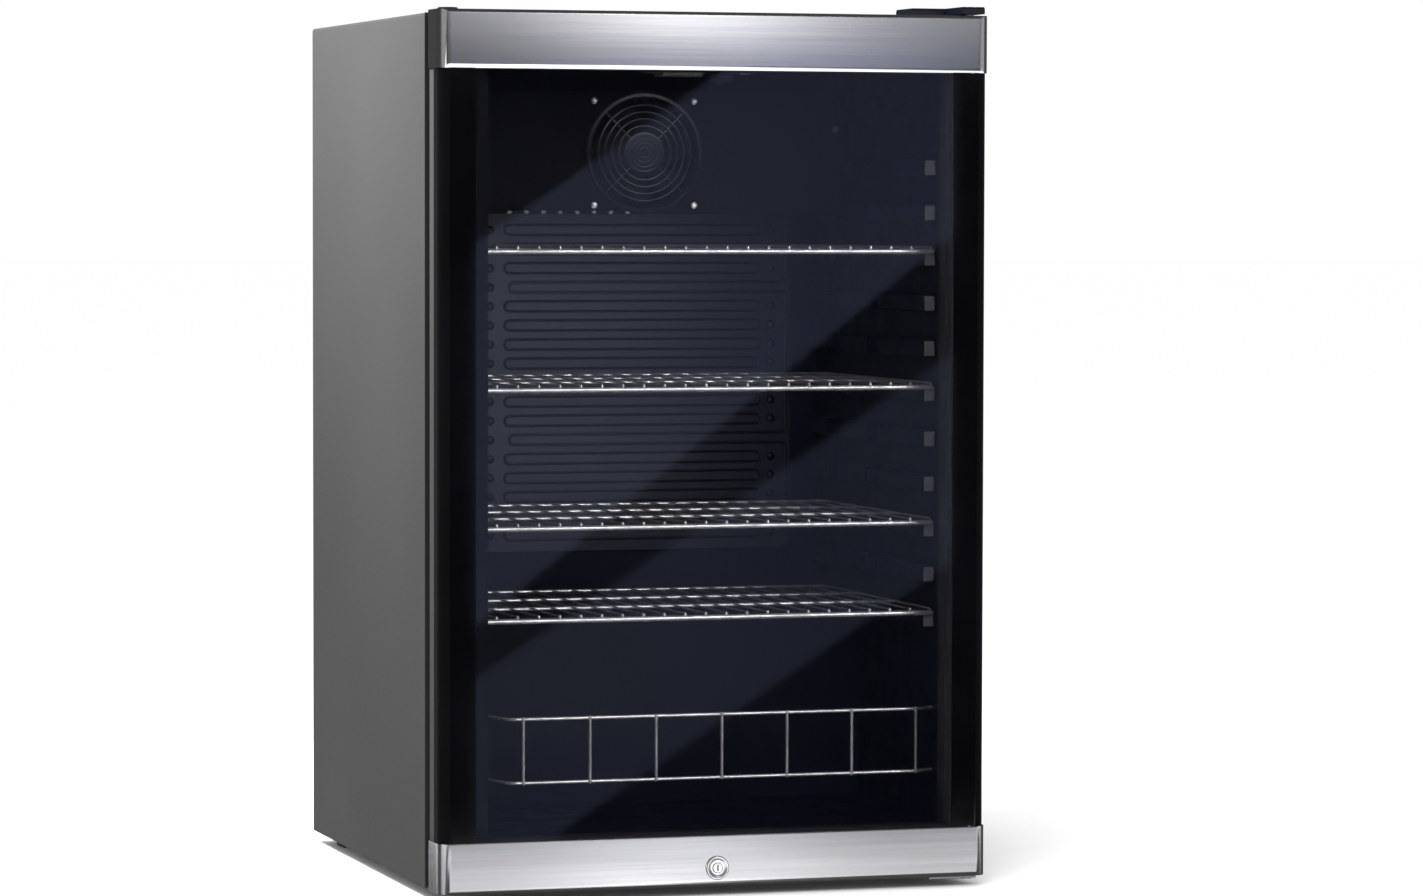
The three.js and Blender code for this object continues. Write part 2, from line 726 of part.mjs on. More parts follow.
// A trough open above and behind, with the same bevel at its foot.
function addLowerTrim() {
  const { front, wall, lowerTop } = TRIM;
  const { low } = DOOR;
  const profile = [
    [0, low],
    [front + BEVEL.depth, low],
    [front, low + BEVEL.height],
    [front, lowerTop - 1],
    [front + 1, lowerTop],
    [0, lowerTop],
  ];
  const hollow = alongZ(trimPlan(wall), [low + wall, lowerTop + 5]);
  const lockHole = rod(LOCK.barrel + GAP, [front - 5, front + 5], 16, "y", [0, 0, LOCK.z]);
  const body = trimBody(profile, [low, lowerTop]);
  place("bottom_trim", carved(body, hollow, lockHole, bushHole(PIVOT.x)), BRUSHED, door);
}

function addGasket() {
  const half = PIVOT.x;
  const width = 12;
  const low = 31;
  const high = 811;
  const outer = rectangle([-half, half], [low, high]);
  const inner = rectangle([-half + width, half - width], [low + width, high - width]);
  place("door_gasket", alongY(outer, [DOOR.back + GAP, -GAP], [inner]), RUBBER, door);
}

function addBushes() {
  const bore = PIN_RADIUS + GAP;
  const at = [PIVOT.x, PIVOT.y, 0];
  const topSleeve = rod(8, [801, DOOR.top - 0.2], 16, "z", at);
  const topBore = rod(bore, [790, DOOR.top + 5], 16, "z", at);
  place("top_bush", carved(topSleeve, topBore), DARK_PLASTIC, door);

  const lowSleeve = rod(8, [DOOR.low - 0.6, 22], 16, "z", at);
  const collar = rod(10, [DOOR.low - 1.2, DOOR.low - GAP], 16, "z", at);
  const lowBore = rod(bore, [DOOR.low - 5, 30], 16, "z", at);
  place("bottom_bush", carved(joined(lowSleeve, collar), lowBore), DARK_PLASTIC, door);

  const plug = [
    [0, DOOR.top - 8],
    [7.8, DOOR.top - 8],
    [7.8, DOOR.top + GAP],
    [10, DOOR.top + GAP],
    [9, DOOR.top + 1.8],
    [0, DOOR.top + 1.8],
  ];
  place("blanking_plug", turned(plug, 16, "z", [-PIVOT.x, PIVOT.y, 0]), DARK_PLASTIC, door);
}

function addLock() {
  const at = [0, 0, LOCK.z];
  const face = TRIM.front - GAP;
  const escutcheon = turned(
    [
      [0, FOREMOST],
      [LOCK.flange - 1.5, FOREMOST],
      [LOCK.flange, face - LOCK.proud / 2],
      [LOCK.flange, face],
      [LOCK.barrel, face],
      [LOCK.barrel, -14],
      [0, -14],
    ],
    24,
    "y",
    at,
  );
  const bore = rod(LOCK.plug + GAP, [TRIM.front - 10, 0], 20, "y", at);
  place("lock_barrel", carved(escutcheon, bore), CHROME, door);

  const plug = rod(LOCK.plug, [face - 1.5, -7.3], 20, "y", at);
  const keyway = block([-0.8, 0.8], [face - 5, face + 4], [LOCK.z - 3, LOCK.z + 3]);
  place("lock_plug", carved(plug, keyway), CHROME, door);

  const camReach = LOCK.camLength;
  const camOutline = [
    ...arc(0, LOCK.z, 6, -120, 120, 8),
    [-camReach, LOCK.z + 3.5],
    [-camReach, LOCK.z - 3.5],
  ];
  place("lock_cam", alongY(camOutline, [-7, -5]), GALVANISED, door);
}

// ---- Hinges and catch ---------------------------------------------------------------------------

// A plate screwed to the cabinet's top with a narrower arm that reaches out over the door.
function addTopHinge() {
  const { left, arm, right, front, back, plate, lift } = HINGE;
  const pinHole = rod(PIN_RADIUS + GAP, [DOOR.top, HEIGHT + 20], 16, "z", [PIVOT.x, PIVOT.y, 0]);
  const reach = block([arm, right], [front, back], [lift, lift + plate]);
  const pad = block([left, right], [CABINET_EDGE + 2, back], [HEIGHT + GAP, lift + plate]);
  place("top_hinge_plate", carved(joined(reach, pad), pinHole), GALVANISED);

  const head = lift + plate + GAP;
  const pin = [
    [0, 804],
    [PIN_RADIUS, 804],
    [PIN_RADIUS, head],
    [6, head],
    [6, head + 1],
    [0, head + 1],
  ];
  place("top_hinge_pin", turned(pin, 16, "z", [PIVOT.x, PIVOT.y, 0]), CHROME);
}

// An L-shaped cap: its body stands on the cabinet and its arm covers the one that holds the pin.
function addHingeCover() {
  const { left, arm, right, front, back, wall, chamfer } = HINGE_COVER;
  const top = COVER_TOP;
  const seat = HEIGHT + GAP;
  const overDoor = HINGE.lift + 0.2;
  const backEdge = [
    [back - chamfer, top],
    [back, top - chamfer],
    [back, seat],
    [CABINET_EDGE, seat],
  ];
  const bodyProfile = [[CABINET_EDGE, top - chamfer], [CABINET_EDGE + chamfer, top], ...backEdge];
  const armProfile = [
    [CABINET_EDGE, overDoor],
    [front, overDoor],
    [front, top - chamfer],
    [front + chamfer, top],
    ...backEdge,
  ];
  const hollow = (leftEnd, frontEnd) =>
    block([leftEnd + wall, right - wall], [frontEnd + wall, back - wall], [HEIGHT - 5, top - wall]);
  const grooves = [251, 259].map((x) => block([x, x + 1.5], [front - 1, CABINET_EDGE], [top - 0.8, top + 1]));
  const cap = joined(alongX(bodyProfile, [left, right]), alongX(armProfile, [arm, right]));
  place("hinge_cover", carved(cap, hollow(left, CABINET_EDGE), hollow(arm, front), ...grooves), DARK_PLASTIC);
}

function addBottomHinge() {
  const { left, right, front } = HINGE;
  const back = 34;
  const top = DOOR.low - 1.5;
  const at = [PIVOT.x, PIVOT.y, 0];
  const pinHole = rod(PIN_RADIUS + GAP, [-20, 5], 16, "z", at);
  const arm = block([left, right], [front + 2, back], [top - 2.2, top]);
  const pad = block([left, right], [CABINET_EDGE, back], [top - 0.5, -GAP]);
  place("bottom_hinge_plate", carved(joined(arm, pad), pinHole), GALVANISED);

  const head = top - 2.2 - GAP;
  const pin = [
    [0, head - 1],
    [6, head - 1],
    [6, head],
    [PIN_RADIUS, head],
    [PIN_RADIUS, 19],
    [0, 19],
  ];
  place("bottom_hinge_pin", turned(pin, 16, "z", at), CHROME);
}

// A small hook on the cabinet front; the lock cam turns down behind its lip.
function addCatch() {
  const hook = [
    [-GAP, 2],
    [-GAP, 0.5],
    [-9.2, 0.5],
    [-9.2, 6],
    [-8, 6],
    [-8, 2],
  ];
  place("lock_catch", alongX(hook, [-12, 12]), GALVANISED);
}

// ---- Refrigeration ------------------------------------------------------------------------------

function addCompressor() {
  const { x, y, radius, seam, stretch, base, height } = COMPRESSOR;
  const dome = turned(
    [
      [0, base + 2],
      [radius - 8, base + 2],
      [radius, base + 14],
      [radius, base + height * 0.48],
      [radius + seam, base + height * 0.5],
      [radius + seam, base + height * 0.54],
      [radius, base + height * 0.56],
      [radius - 2, base + height * 0.75],
      [radius - 16, base + height * 0.93],
      [radius * 0.35, base + height],
      [0, base + height],
    ],
    20,
    "z",
    [0, 0, 0],
  );
  dome.scale(stretch, 1, 1);
  dome.translate(x, y, 0);
  const plate = block([x - 95, x + 95], [y - 50, y + 50], [base, base + 3]);
  const legs = [-1, 1].flatMap((sx) =>
    [-1, 1].map((sy) => rod(9, [PAN + GAP, base + 1], 10, "z", [x + sx * 82, y + sy * 40, 0])),
  );
  place("compressor", joined(plate, dome, ...legs), PAINT_BLACK);

  const coverX = x - (radius + seam) * stretch - 1;
  place("relay_cover", block([coverX - 32, coverX], [y - 30, y + 30], [35, 95]), DARK_PLASTIC);
}

function addDripTray() {
  const { x, y } = COMPRESSOR;
  const { halfX, halfY, wall, height, above } = TRAY;
  const low = COMPRESSOR.base + COMPRESSOR.height + above;
  const spans = (inset) => [
    [x - halfX + inset, x + halfX - inset],
    [y - halfY + inset, y + halfY - inset],
  ];
  const tray = block(...spans(0), [low, low + height]);
  const hollow = block(...spans(wall), [low + wall, low + height + 5]);
  place("drip_tray", carved(tray, hollow), DARK_PLASTIC);
}

// One serpentine tube that runs down the back and on to the filter drier.
function addCondenser() {
  const { halfX, low, passes, pitch, y, tube: radius, reach } = CONDENSER;
  const bendRadius = pitch / 2;
  const points = [new THREE.Vector3(halfX - bendRadius, y, low + (passes - 1) * pitch)];
  for (let pass = 0; pass < passes; pass++) {
    const z = low + (passes - 1 - pass) * pitch;
    const side = pass % 2 ? 1 : -1;
    const endX = side * (halfX - bendRadius);
    points.push(new THREE.Vector3(endX, y, z));
    if (pass === passes - 1) break;
    for (const angle of [45, 90, 135, 180]) {
      const a = THREE.MathUtils.degToRad(angle);
      points.push(
        new THREE.Vector3(
          endX + side * bendRadius * Math.sin(a),
          y,
          z - bendRadius + bendRadius * Math.cos(a),
        ),
      );
    }
  }
  const tail = bent(
    [
      [-halfX + bendRadius, y, low],
      [-halfX + 6, y, low - 22],
      [-halfX + 10, y - 6, 195],
      [DRIER.x - 40, DRIER.y + 30, 180],
      [DRIER.x, DRIER.y, 182],
      [DRIER.x, DRIER.y, DRIER.high + 1],
    ],
    18,
    3,
  );
  place("condenser", tube([...points, ...tail.slice(1)], radius, 6), PAINT_BLACK);

  const onPanel = DEPTH + GAP;
  const flangeRear = DEPTH + 1.5;
  for (const [name, side] of [["left", -1], ["right", 1]]) {
    const strap = alongZ(
      [
        [side * (halfX - 11), onPanel],
        [side * (halfX + 17), onPanel],
        [side * (halfX + 17), flangeRear],
        [side * (halfX + 5), flangeRear],
        [side * (halfX + 5), reach],
        [side * (halfX + 3.5), reach],
        [side * (halfX + 3.5), flangeRear],
        [side * (halfX - 11), flangeRear],
      ],
      [low - 20, low + (passes - 1) * pitch + 20],
    );
    place(`condenser_strap_${name}`, strap, GALVANISED);
  }
}

function addPipework() {
  const { low, high, radius: drierRadius, neck } = DRIER;
  const drier = turned(
    [
      [0, low],
      [neck - 0.5, low],
      [neck, low + 10],
      [drierRadius, low + 20],
      [drierRadius, high - 17],
      [neck, high - 7],
      [neck, high],
      [0, high],
    ],
    12,
    "z",
    [DRIER.x, DRIER.y, 0],
  );
  place("filter_drier", drier, COPPER);

  const { x, y, radius, seam, stretch } = COMPRESSOR;
  const shellRight = x + (radius + seam) * stretch + 1;
  const coilTop = CONDENSER.low + (CONDENSER.passes - 1) * CONDENSER.pitch;
  const coilStart = CONDENSER.halfX - CONDENSER.pitch / 2;
  const discharge = bent(
    [
      [shellRight, y, 60],
      [shellRight + 34, y, 60],
      [231, 466, 110],
      [231, 480.5, 190],
      [231, 480.5, coilTop - 26],
      [232, CONDENSER.y, coilTop],
      [coilStart + 0.4, CONDENSER.y, coilTop],
    ],
    20,
    4,
  );
  place("discharge_pipe", tube(discharge, PIPE.discharge, 6), COPPER);

  const suction = bent(
    [
      [x - 30, y + radius + 6, 80],
      [x - 30, y + radius + 16, 80],
      [x - 110, y + radius + 10, 120],
      [PIPE.suctionX, PIPE.suctionY, 170],
      [PIPE.suctionX, PIPE.suctionY, BAY.top - 0.5],
    ],
    18,
    4,
  );
  place("suction_pipe", tube(suction, PIPE.suction, 6), COPPER);
}

function addMainsInlet() {
  const inletBody = block([-252, -212], [450, DEPTH - 2], [PAN + GAP, 42]);
  const cordHole = rod(4, [462, DEPTH + 5], 10, "y", [-232, 0, 24]);
  place("mains_inlet", carved(inletBody, cordHole), DARK_PLASTIC);
}

// ---- Assembly -----------------------------------------------------------------------------------

addOuterShell();
addFrontFrame();
addBackPanel();
addBasePan();
addInnerLiner();
addFoam();
addFeet();

addEvaporator();
addDuct();
addFanGuard();
addFan();
addScrews();
addLamp();
SHELF_LEVELS.forEach((level, i) => addShelf(`shelf_${i + 1}`, level));
addBottleGuard();

addGlazing();
addPillar("left_pillar", -1);
addPillar("right_pillar", 1);
addUpperTrim();
addLowerTrim();
addGasket();
addBushes();
addLock();

addTopHinge();
addHingeCover();
addBottomHinge();
addCatch();

addCompressor();
addDripTray();
addCondenser();
addPipework();
addMainsInlet();

export default cooler;
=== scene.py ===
"""A free-standing wine cooler with a glass door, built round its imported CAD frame.

Shapes are laid out in cabinet millimetres: x = 0 on the centre line, y = 0 at the cabinet's front flange with
+y to the rear, z = 0 at the underside of the outer shell. TO_ROW takes them to the row frame in metres.
"""
import json
import math

import bmesh
import bpy
from mathutils import Matrix, Vector

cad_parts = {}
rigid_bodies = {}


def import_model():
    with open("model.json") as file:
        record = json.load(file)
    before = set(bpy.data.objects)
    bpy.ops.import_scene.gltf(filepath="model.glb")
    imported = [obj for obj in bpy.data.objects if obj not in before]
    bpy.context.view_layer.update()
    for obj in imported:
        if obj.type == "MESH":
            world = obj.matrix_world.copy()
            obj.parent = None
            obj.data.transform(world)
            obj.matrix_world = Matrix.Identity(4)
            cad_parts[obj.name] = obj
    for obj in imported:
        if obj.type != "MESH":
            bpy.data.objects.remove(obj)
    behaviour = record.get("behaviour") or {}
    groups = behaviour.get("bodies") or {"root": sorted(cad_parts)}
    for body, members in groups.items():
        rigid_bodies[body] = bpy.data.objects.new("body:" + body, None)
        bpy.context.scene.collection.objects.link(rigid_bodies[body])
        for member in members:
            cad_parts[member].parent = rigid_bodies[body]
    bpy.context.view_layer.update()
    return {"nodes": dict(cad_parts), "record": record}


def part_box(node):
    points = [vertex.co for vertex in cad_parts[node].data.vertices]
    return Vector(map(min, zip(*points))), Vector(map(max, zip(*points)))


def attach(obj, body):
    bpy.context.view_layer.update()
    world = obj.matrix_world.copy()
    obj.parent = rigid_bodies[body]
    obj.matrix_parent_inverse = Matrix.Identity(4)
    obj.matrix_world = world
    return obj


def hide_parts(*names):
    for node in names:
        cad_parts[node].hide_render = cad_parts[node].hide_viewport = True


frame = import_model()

MM = 0.001
FRONT_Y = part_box("front_frame")[0].y
BASE_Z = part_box("outer_shell")[0].z
TO_ROW = Matrix.Translation((0, FRONT_Y, BASE_Z)) @ Matrix.Scale(MM, 4)
FROM_ROW = TO_ROW.inverted()
GAP = 0.3  # between pieces that touch


def extent(node):
    """The lowest and highest corners of a CAD node, in cabinet millimetres."""
    low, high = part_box(node)
    return FROM_ROW @ low, FROM_ROW @ high


def middle(node):
    low, high = extent(node)
    return (low + high) / 2


# ---- Materials ----

MIX = {"factor": 0, "first": 6, "second": 7, "result": 2}  # the colour sockets of a Mix node


class Look:
    """A material with a Principled shader, and helpers for the textures that feed it."""

    def __init__(self, name, color, roughness, metallic=0.0, **sockets):
        self.material = bpy.data.materials.new(name)
        self.material.use_nodes = True
        self.tree = self.material.node_tree
        self.shader = self.tree.nodes["Principled BSDF"]
        self.set("Base Color", (*color, 1))
        self.set("Roughness", roughness)
        self.set("Metallic", metallic)
        for socket, value in sockets.items():
            self.set(socket.replace("_", " "), value)
        self.coordinates = self.node("ShaderNodeTexCoord").outputs["Object"]

    def set(self, socket, value):
        self.shader.inputs[socket].default_value = value

    def node(self, kind, inputs=None, **settings):
        node = self.tree.nodes.new(kind)
        for name, value in settings.items():
            setattr(node, name, value)
        for name, value in (inputs or {}).items():
            if isinstance(value, bpy.types.NodeSocket):
                self.tree.links.new(value, node.inputs[name])
            else:
                node.inputs[name].default_value = value
        return node

    def stretched(self, stretch):
        inputs = {"Vector": self.coordinates, "Scale": stretch}
        return self.node("ShaderNodeMapping", inputs).outputs["Vector"]

    def noise(self, scale, detail=3.0, roughness=0.5, stretch=(1, 1, 1)):
        inputs = {"Vector": self.stretched(stretch), "Scale": scale, "Detail": detail, "Roughness": roughness}
        return self.node("ShaderNodeTexNoise", inputs).outputs["Fac"]

    def cells(self, scale, output="Distance"):
        inputs = {"Vector": self.coordinates, "Scale": scale}
        return self.node("ShaderNodeTexVoronoi", inputs).outputs[output]

    def remapped(self, value, low, high, start=0.3, end=0.7):
        inputs = {"Value": value, "From Min": start, "From Max": end, "To Min": low, "To Max": high}
        return self.node("ShaderNodeMapRange", inputs).outputs["Result"]

    def mixed(self, factor, first, second):
        node = self.node("ShaderNodeMix", data_type="RGBA")
        self.tree.links.new(factor, node.inputs[MIX["factor"]])
        node.inputs[MIX["first"]].default_value = (*first, 1)
        node.inputs[MIX["second"]].default_value = (*second, 1)
        return node.outputs[MIX["result"]]

    def color_between(self, factor, first, second):
        self.tree.links.new(self.mixed(factor, first, second), self.shader.inputs["Base Color"])

    def roughness_between(self, value, low, high, start=0.3, end=0.7):
        result = self.remapped(value, low, high, start, end)
        self.tree.links.new(result, self.shader.inputs["Roughness"])

    def math(self, operation, first, second):
        return self.node("ShaderNodeMath", {0: first, 1: second}, operation=operation).outputs[0]

    def bump(self, height, distance, strength=1.0):
        inputs = {"Height": height, "Distance": distance * MM, "Strength": strength}
        node = self.node("ShaderNodeBump", inputs)
        self.tree.links.new(node.outputs["Normal"], self.shader.inputs["Normal"])


def shade(color, factor):
    return tuple(c * factor for c in color)


PANE_TINT = (0.5, 0.58, 0.75)  # the share of red, green and blue that both panes let through


def behind_glass(color):
    """A record colour as it looks through the tinted panes: darker, and bluer."""
    return tuple(c * f for c, f in zip(color, PANE_TINT))


def brushed_steel(name, color):
    look = Look(name, color, 0.28, 1.0)
    streaks = look.noise(1.0, 3, 0.6, (3, 60, 260))
    lines = look.noise(1.0, 3, 0.6, (9, 500, 900))
    look.color_between(look.remapped(streaks, 0, 1, 0.2, 0.8), shade(color, 0.9), shade(color, 1.07))
    look.roughness_between(lines, 0.2, 0.27, 0.1, 0.9)
    look.bump(lines, 0.008, 0.3)
    return look.material


def sheet_paint(name, color, metallic, roughness, grain=1400, relief=0.03):
    """Sprayed paint: fine orange peel and a faint drift of tone."""
    look = Look(name, color, roughness, metallic)
    drift = look.noise(3.0, 3)
    peel = look.noise(grain, 2)
    look.color_between(look.remapped(drift, 0, 1), shade(color, 0.93), shade(color, 1.06))
    look.roughness_between(peel, roughness - 0.05, roughness + 0.07)
    look.bump(peel, relief, 0.6)
    return look.material


def gloss_black(name, color):
    look = Look(name, color, 0.07, 0.0, Coat_Weight=0.15, Coat_Roughness=0.03, Specular_IOR_Level=0.3)
    wave = look.noise(14, 2)
    look.color_between(look.remapped(wave, 0, 1), shade(color, 0.8), shade(color, 1.4))
    look.roughness_between(look.noise(60, 4), 0.05, 0.1)
    look.bump(wave, 0.12, 0.25)
    return look.material


def moulded_plastic(name, color, roughness, grain=1600, relief=0.006):
    """Injection-moulded plastic with a fine spark-eroded grain."""
    look = Look(name, color, roughness)
    drift = look.noise(12, 3)
    pits = look.cells(grain)
    look.color_between(look.remapped(drift, 0, 1), shade(color, 0.85), shade(color, 1.18))
    look.roughness_between(look.noise(45, 4), roughness - 0.07, roughness + 0.08)
    look.bump(pits, relief, 0.35)
    return look.material


def galvanised(name, color):
    look = Look(name, color, 0.4, 0.9)
    spangle = look.cells(160, "Color")
    tone = look.node("ShaderNodeSeparateColor", {"Color": spangle}).outputs["Red"]
    look.color_between(tone, shade(color, 0.78), shade(color, 1.2))
    look.roughness_between(tone, 0.32, 0.5, 0, 1)
    look.bump(look.noise(500, 3), 0.02, 0.4)
    return look.material


def chrome(name, color):
    look = Look(name, color, 0.16, 0.85)
    smear = look.noise(70, 4)
    look.color_between(look.remapped(smear, 0, 1), shade(color, 0.93), shade(color, 1.05))
    look.roughness_between(smear, 0.14, 0.26)
    look.bump(look.noise(260, 2), 0.01, 0.3)
    return look.material


def copper(name, color):
    look = Look(name, color, 0.3, 1.0)
    tarnish = look.noise(55, 5, 0.6)
    look.color_between(look.remapped(tarnish, 0, 1, 0.4, 0.75), color, shade(color, 0.45))
    look.roughness_between(tarnish, 0.22, 0.5)
    look.bump(look.noise(400, 2), 0.02, 0.3)
    return look.material


def rubber(name, color):
    look = Look(name, color, 0.7)
    dust = look.noise(120, 5)
    look.color_between(look.remapped(dust, 0, 1), color, shade(color, 1.8))
    look.roughness_between(dust, 0.6, 0.8)
    look.bump(look.noise(900, 2), 0.03, 0.5)
    return look.material


def rigid_foam(name, color):
    look = Look(name, color, 0.95)
    cells = look.cells(700)
    look.color_between(look.remapped(cells, 0, 1), shade(color, 0.75), color)
    look.bump(cells, 0.3, 0.8)
    return look.material


def ribbed_lens(name, color):
    look = Look(name, color, 0.25, 0.0, Subsurface_Weight=0.2)
    ribs = look.noise(1.0, 1, 0.3, (900, 20, 20))
    look.color_between(look.remapped(ribs, 0, 1), shade(color, 0.8), color)
    look.bump(ribs, 0.2, 0.6)
    return look.material


def tinted_glass(name, color, alpha=0.25, ior=2.0):
    """Constant values only, so that the exported pane stays see-through."""
    look = Look(name, color, 0.015, 0.0, Alpha=alpha, IOR=ior)
    return look.material


COLORS = {m["slot"]: tuple(m["base_color"][:3]) for m in frame["record"]["materials"]}
MAKERS = {
    "cabinet_paint": (sheet_paint, 0.35, 0.42),
    "black_paint": (sheet_paint, 0.0, 0.5, 900, 0.06),
    "galvanised_steel": (galvanised,),
    "brushed_trim": (brushed_steel,),
    "gloss_black": (gloss_black,),
    "liner_plastic": (moulded_plastic, 0.38),
    "dark_plastic": (moulded_plastic, 0.42),
    "grey_plastic": (moulded_plastic, 0.4),
    "white_plastic": (moulded_plastic, 0.33, 500, 0.02),
    "lens_plastic": (ribbed_lens,),
    "chrome_wire": (chrome,),
    "copper_tube": (copper,),
    "coated_aluminium": (sheet_paint, 0.3, 0.36, 500, 0.05),
    "magnetic_gasket": (rubber,),
    "insulation_foam": (rigid_foam,),
    "tinted_glass": (tinted_glass,),
}
DARKENED = ("liner_plastic", "dark_plastic")  # seen through the panes only


def make_material(slot):
    maker, *settings = MAKERS[slot]
    color = behind_glass(COLORS[slot]) if slot in DARKENED else COLORS[slot]
    return maker(slot, color, *settings)


MATERIALS = {slot: make_material(slot) for slot in COLORS}
SLOT_OF = {s["node"]: s["material_slot"] for s in frame["record"]["subparts"]}
BODY_OF = {node: body for body, nodes in frame["record"]["behaviour"]["bodies"].items() for node in nodes}


# ---- Mesh helpers ----


def finish_piece(name, mesh, body, slot, replaces, sharp):
    """Links a mesh that is already in the row frame, shades it and hangs it on its body."""
    for polygon in mesh.polygons:
        polygon.use_smooth = True
    mesh.set_sharp_from_angle(angle=math.radians(sharp))
    mesh.materials.clear()
    mesh.materials.append(MATERIALS[slot])
    piece = bpy.data.objects.new(name, mesh)
    bpy.context.scene.collection.objects.link(piece)
    normals = piece.modifiers.new("flat faces stay flat", "WEIGHTED_NORMAL")
    normals.keep_sharp = True
    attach(piece, body)
    if replaces:
        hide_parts(*replaces)
    return piece


def add_piece(name, bm, node, slot=None, replaces=None, sharp=40):
    """A piece from a bmesh in cabinet millimetres. It rides with a CAD node and by default stands for it."""
    bmesh.ops.recalc_face_normals(bm, faces=bm.faces)
    mesh = bpy.data.meshes.new(name)
    bm.to_mesh(mesh)
    bm.free()
    mesh.transform(TO_ROW)
    replaced = [node] if replaces is None else replaces
    return finish_piece(name, mesh, BODY_OF[node], slot or SLOT_OF[node], replaced, sharp)


SHARP_EDGE = math.radians(35)


def bevel(bm, edges, width, segments):
    bmesh.ops.bevel(
        bm, geom=edges, offset=width, segments=segments, profile=0.5, affect="EDGES", clamp_overlap=True
    )


def round_edges(bm, width, segments, chosen=lambda edge: True):
    """Rounds the sharp edges that the chosen function accepts."""
    sharp = [e for e in bm.edges if e.is_manifold and e.calc_face_angle() > SHARP_EDGE]
    bevel(bm, [e for e in sharp if chosen(e)], width, segments)


def softened(node, width, segments=2, chosen=lambda edge: True, sharp=50):
    """The CAD node's own shape with small rounds along its sharp edges."""
    mesh = frame["nodes"][node].data.copy()
    bm = bmesh.new()
    bm.from_mesh(mesh)
    bmesh.ops.remove_doubles(bm, verts=bm.verts, dist=1e-6)
    bmesh.ops.dissolve_limit(bm, angle_limit=math.radians(1), verts=bm.verts, edges=bm.edges)
    round_edges(bm, width * MM, segments, chosen)
    bm.to_mesh(mesh)
    bm.free()
    return finish_piece(f"{node}_finished", mesh, BODY_OF[node], SLOT_OF[node], [node], sharp)


def new_faces(bm, rings, joined_ends=False):
    """Skins a list of equally long point rings; the first and the last are joined, or each is closed."""
    verts = [[bm.verts.new(p) for p in ring] for ring in rings]
    count = len(rings[0])
    following = verts[1:] + verts[:1] if joined_ends else verts[1:]
    for first, second in zip(verts, following):
        for i in range(count):
            j = (i + 1) % count
            bm.faces.new((first[i], first[j], second[j], second[i]))
    if not joined_ends:
        bm.faces.new(list(reversed(verts[0])))
        bm.faces.new(verts[-1])


def full_turn(count):
    """Evenly spaced angles round a circle, in radians."""
    return [2 * math.pi * i / count for i in range(count)]


def ring_round(centre, direction, radius, sides, start=None):
    """A circle of points across a direction, turned as little as possible from the start vector."""
    axis = Vector(direction).normalized()
    if start is None:
        start = (0, 0, 1) if abs(axis.z) < 0.9 else (1, 0, 0)
    guide = Vector(start)
    u = (guide - axis * guide.dot(axis)).normalized()
    v = axis.cross(u)
    return [Vector(centre) + (u * math.cos(t) + v * math.sin(t)) * radius for t in full_turn(sides)], u


def tube_end(ring, end, neighbour, radius):
    """A smaller ring just past a tube's end, which rounds it."""
    out = (end - neighbour).normalized() * radius
    return [end + out * 0.8 + (p - end) * 0.55 for p in ring]


def add_tube(bm, points, radius, sides=10, rounded=False):
    """A round wire or pipe along a list of points."""
    points = [Vector(p) for p in points]
    rings = []
    guide = None
    for i, point in enumerate(points):
        before = points[max(i - 1, 0)]
        after = points[min(i + 1, len(points) - 1)]
        ring, guide = ring_round(point, after - before, radius, sides, guide)
        rings.append(ring)
    if rounded:
        rings.insert(0, tube_end(rings[0], points[0], points[1], radius))
        rings.append(tube_end(rings[-1], points[-1], points[-2], radius))
    new_faces(bm, rings)


def bent(route, radius, steps=6):
    """A route with its inner corners replaced by bends."""
    route = [Vector(p) for p in route]
    result = [route[0]]
    for before, corner, after in zip(route, route[1:], route[2:]):
        reach_in = min(radius, (corner - before).length * 0.49)
        reach_out = min(radius, (after - corner).length * 0.49)
        start = corner + (before - corner).normalized() * reach_in
        end = corner + (after - corner).normalized() * reach_out
        for i in range(steps + 1):
            t = i / steps
            result.append(start * (1 - t) ** 2 + corner * 2 * t * (1 - t) + end * t**2)
    return result + [route[-1]]


def add_lathe(bm, profile, centre, axis="z", sides=40, stretch=1.0):
    """A turned body from (radius, height) pairs; its first and last radius may be 0."""
    rings = []
    for radius, height in profile:
        radius = max(radius, 0.01)
        ring = []
        for a in full_turn(sides):
            u, v = radius * math.cos(a), radius * math.sin(a)
            offset = (u * stretch, v, height) if axis == "z" else (u * stretch, height, v)
            ring.append(Vector(centre) + Vector(offset))
        rings.append(ring)
    new_faces(bm, rings)


def add_box(bm, low, high, round_by=0.0, segments=2):
    """A box with all its edges rounded."""
    low, high = Vector(low), Vector(high)
    place = Matrix.Translation((low + high) / 2) @ Matrix.Diagonal((*(high - low), 1))
    made = bmesh.ops.create_cube(bm, size=1, matrix=place)
    if round_by > 0:
        edges = dict.fromkeys(e for v in made["verts"] for e in v.link_edges)
        bevel(bm, list(edges), round_by, segments)


def add_mirrored_boxes(bm, low, high, round_by, segments):
    """A box on the right and its mirror image on the left."""
    add_box(bm, low, high, round_by, segments)
    add_box(bm, (-high[0], *low[1:]), (-low[0], *high[1:]), round_by, segments)


def add_frame_ring(bm, section, half_x, low, high):
    """A section of (inset, y) points run round a rectangle with mitred corners."""
    rings = []
    for side, corner_z, inward in ((-1, low, 1), (1, low, 1), (1, high, -1), (-1, high, -1)):
        ring = [Vector((side * (half_x - inset), y, corner_z + inward * inset)) for inset, y in section]
        rings.append(ring)
    new_faces(bm, rings, joined_ends=True)


def arc_points(centre, radius, count, start, sweep):
    """Points on an arc across the y axis with both its ends; start and sweep are in degrees."""
    angles = [math.radians(start + sweep * i / (count - 1)) for i in range(count)]
    x, y, z = centre
    return [Vector((x + radius * math.cos(a), y, z + radius * math.sin(a))) for a in angles]


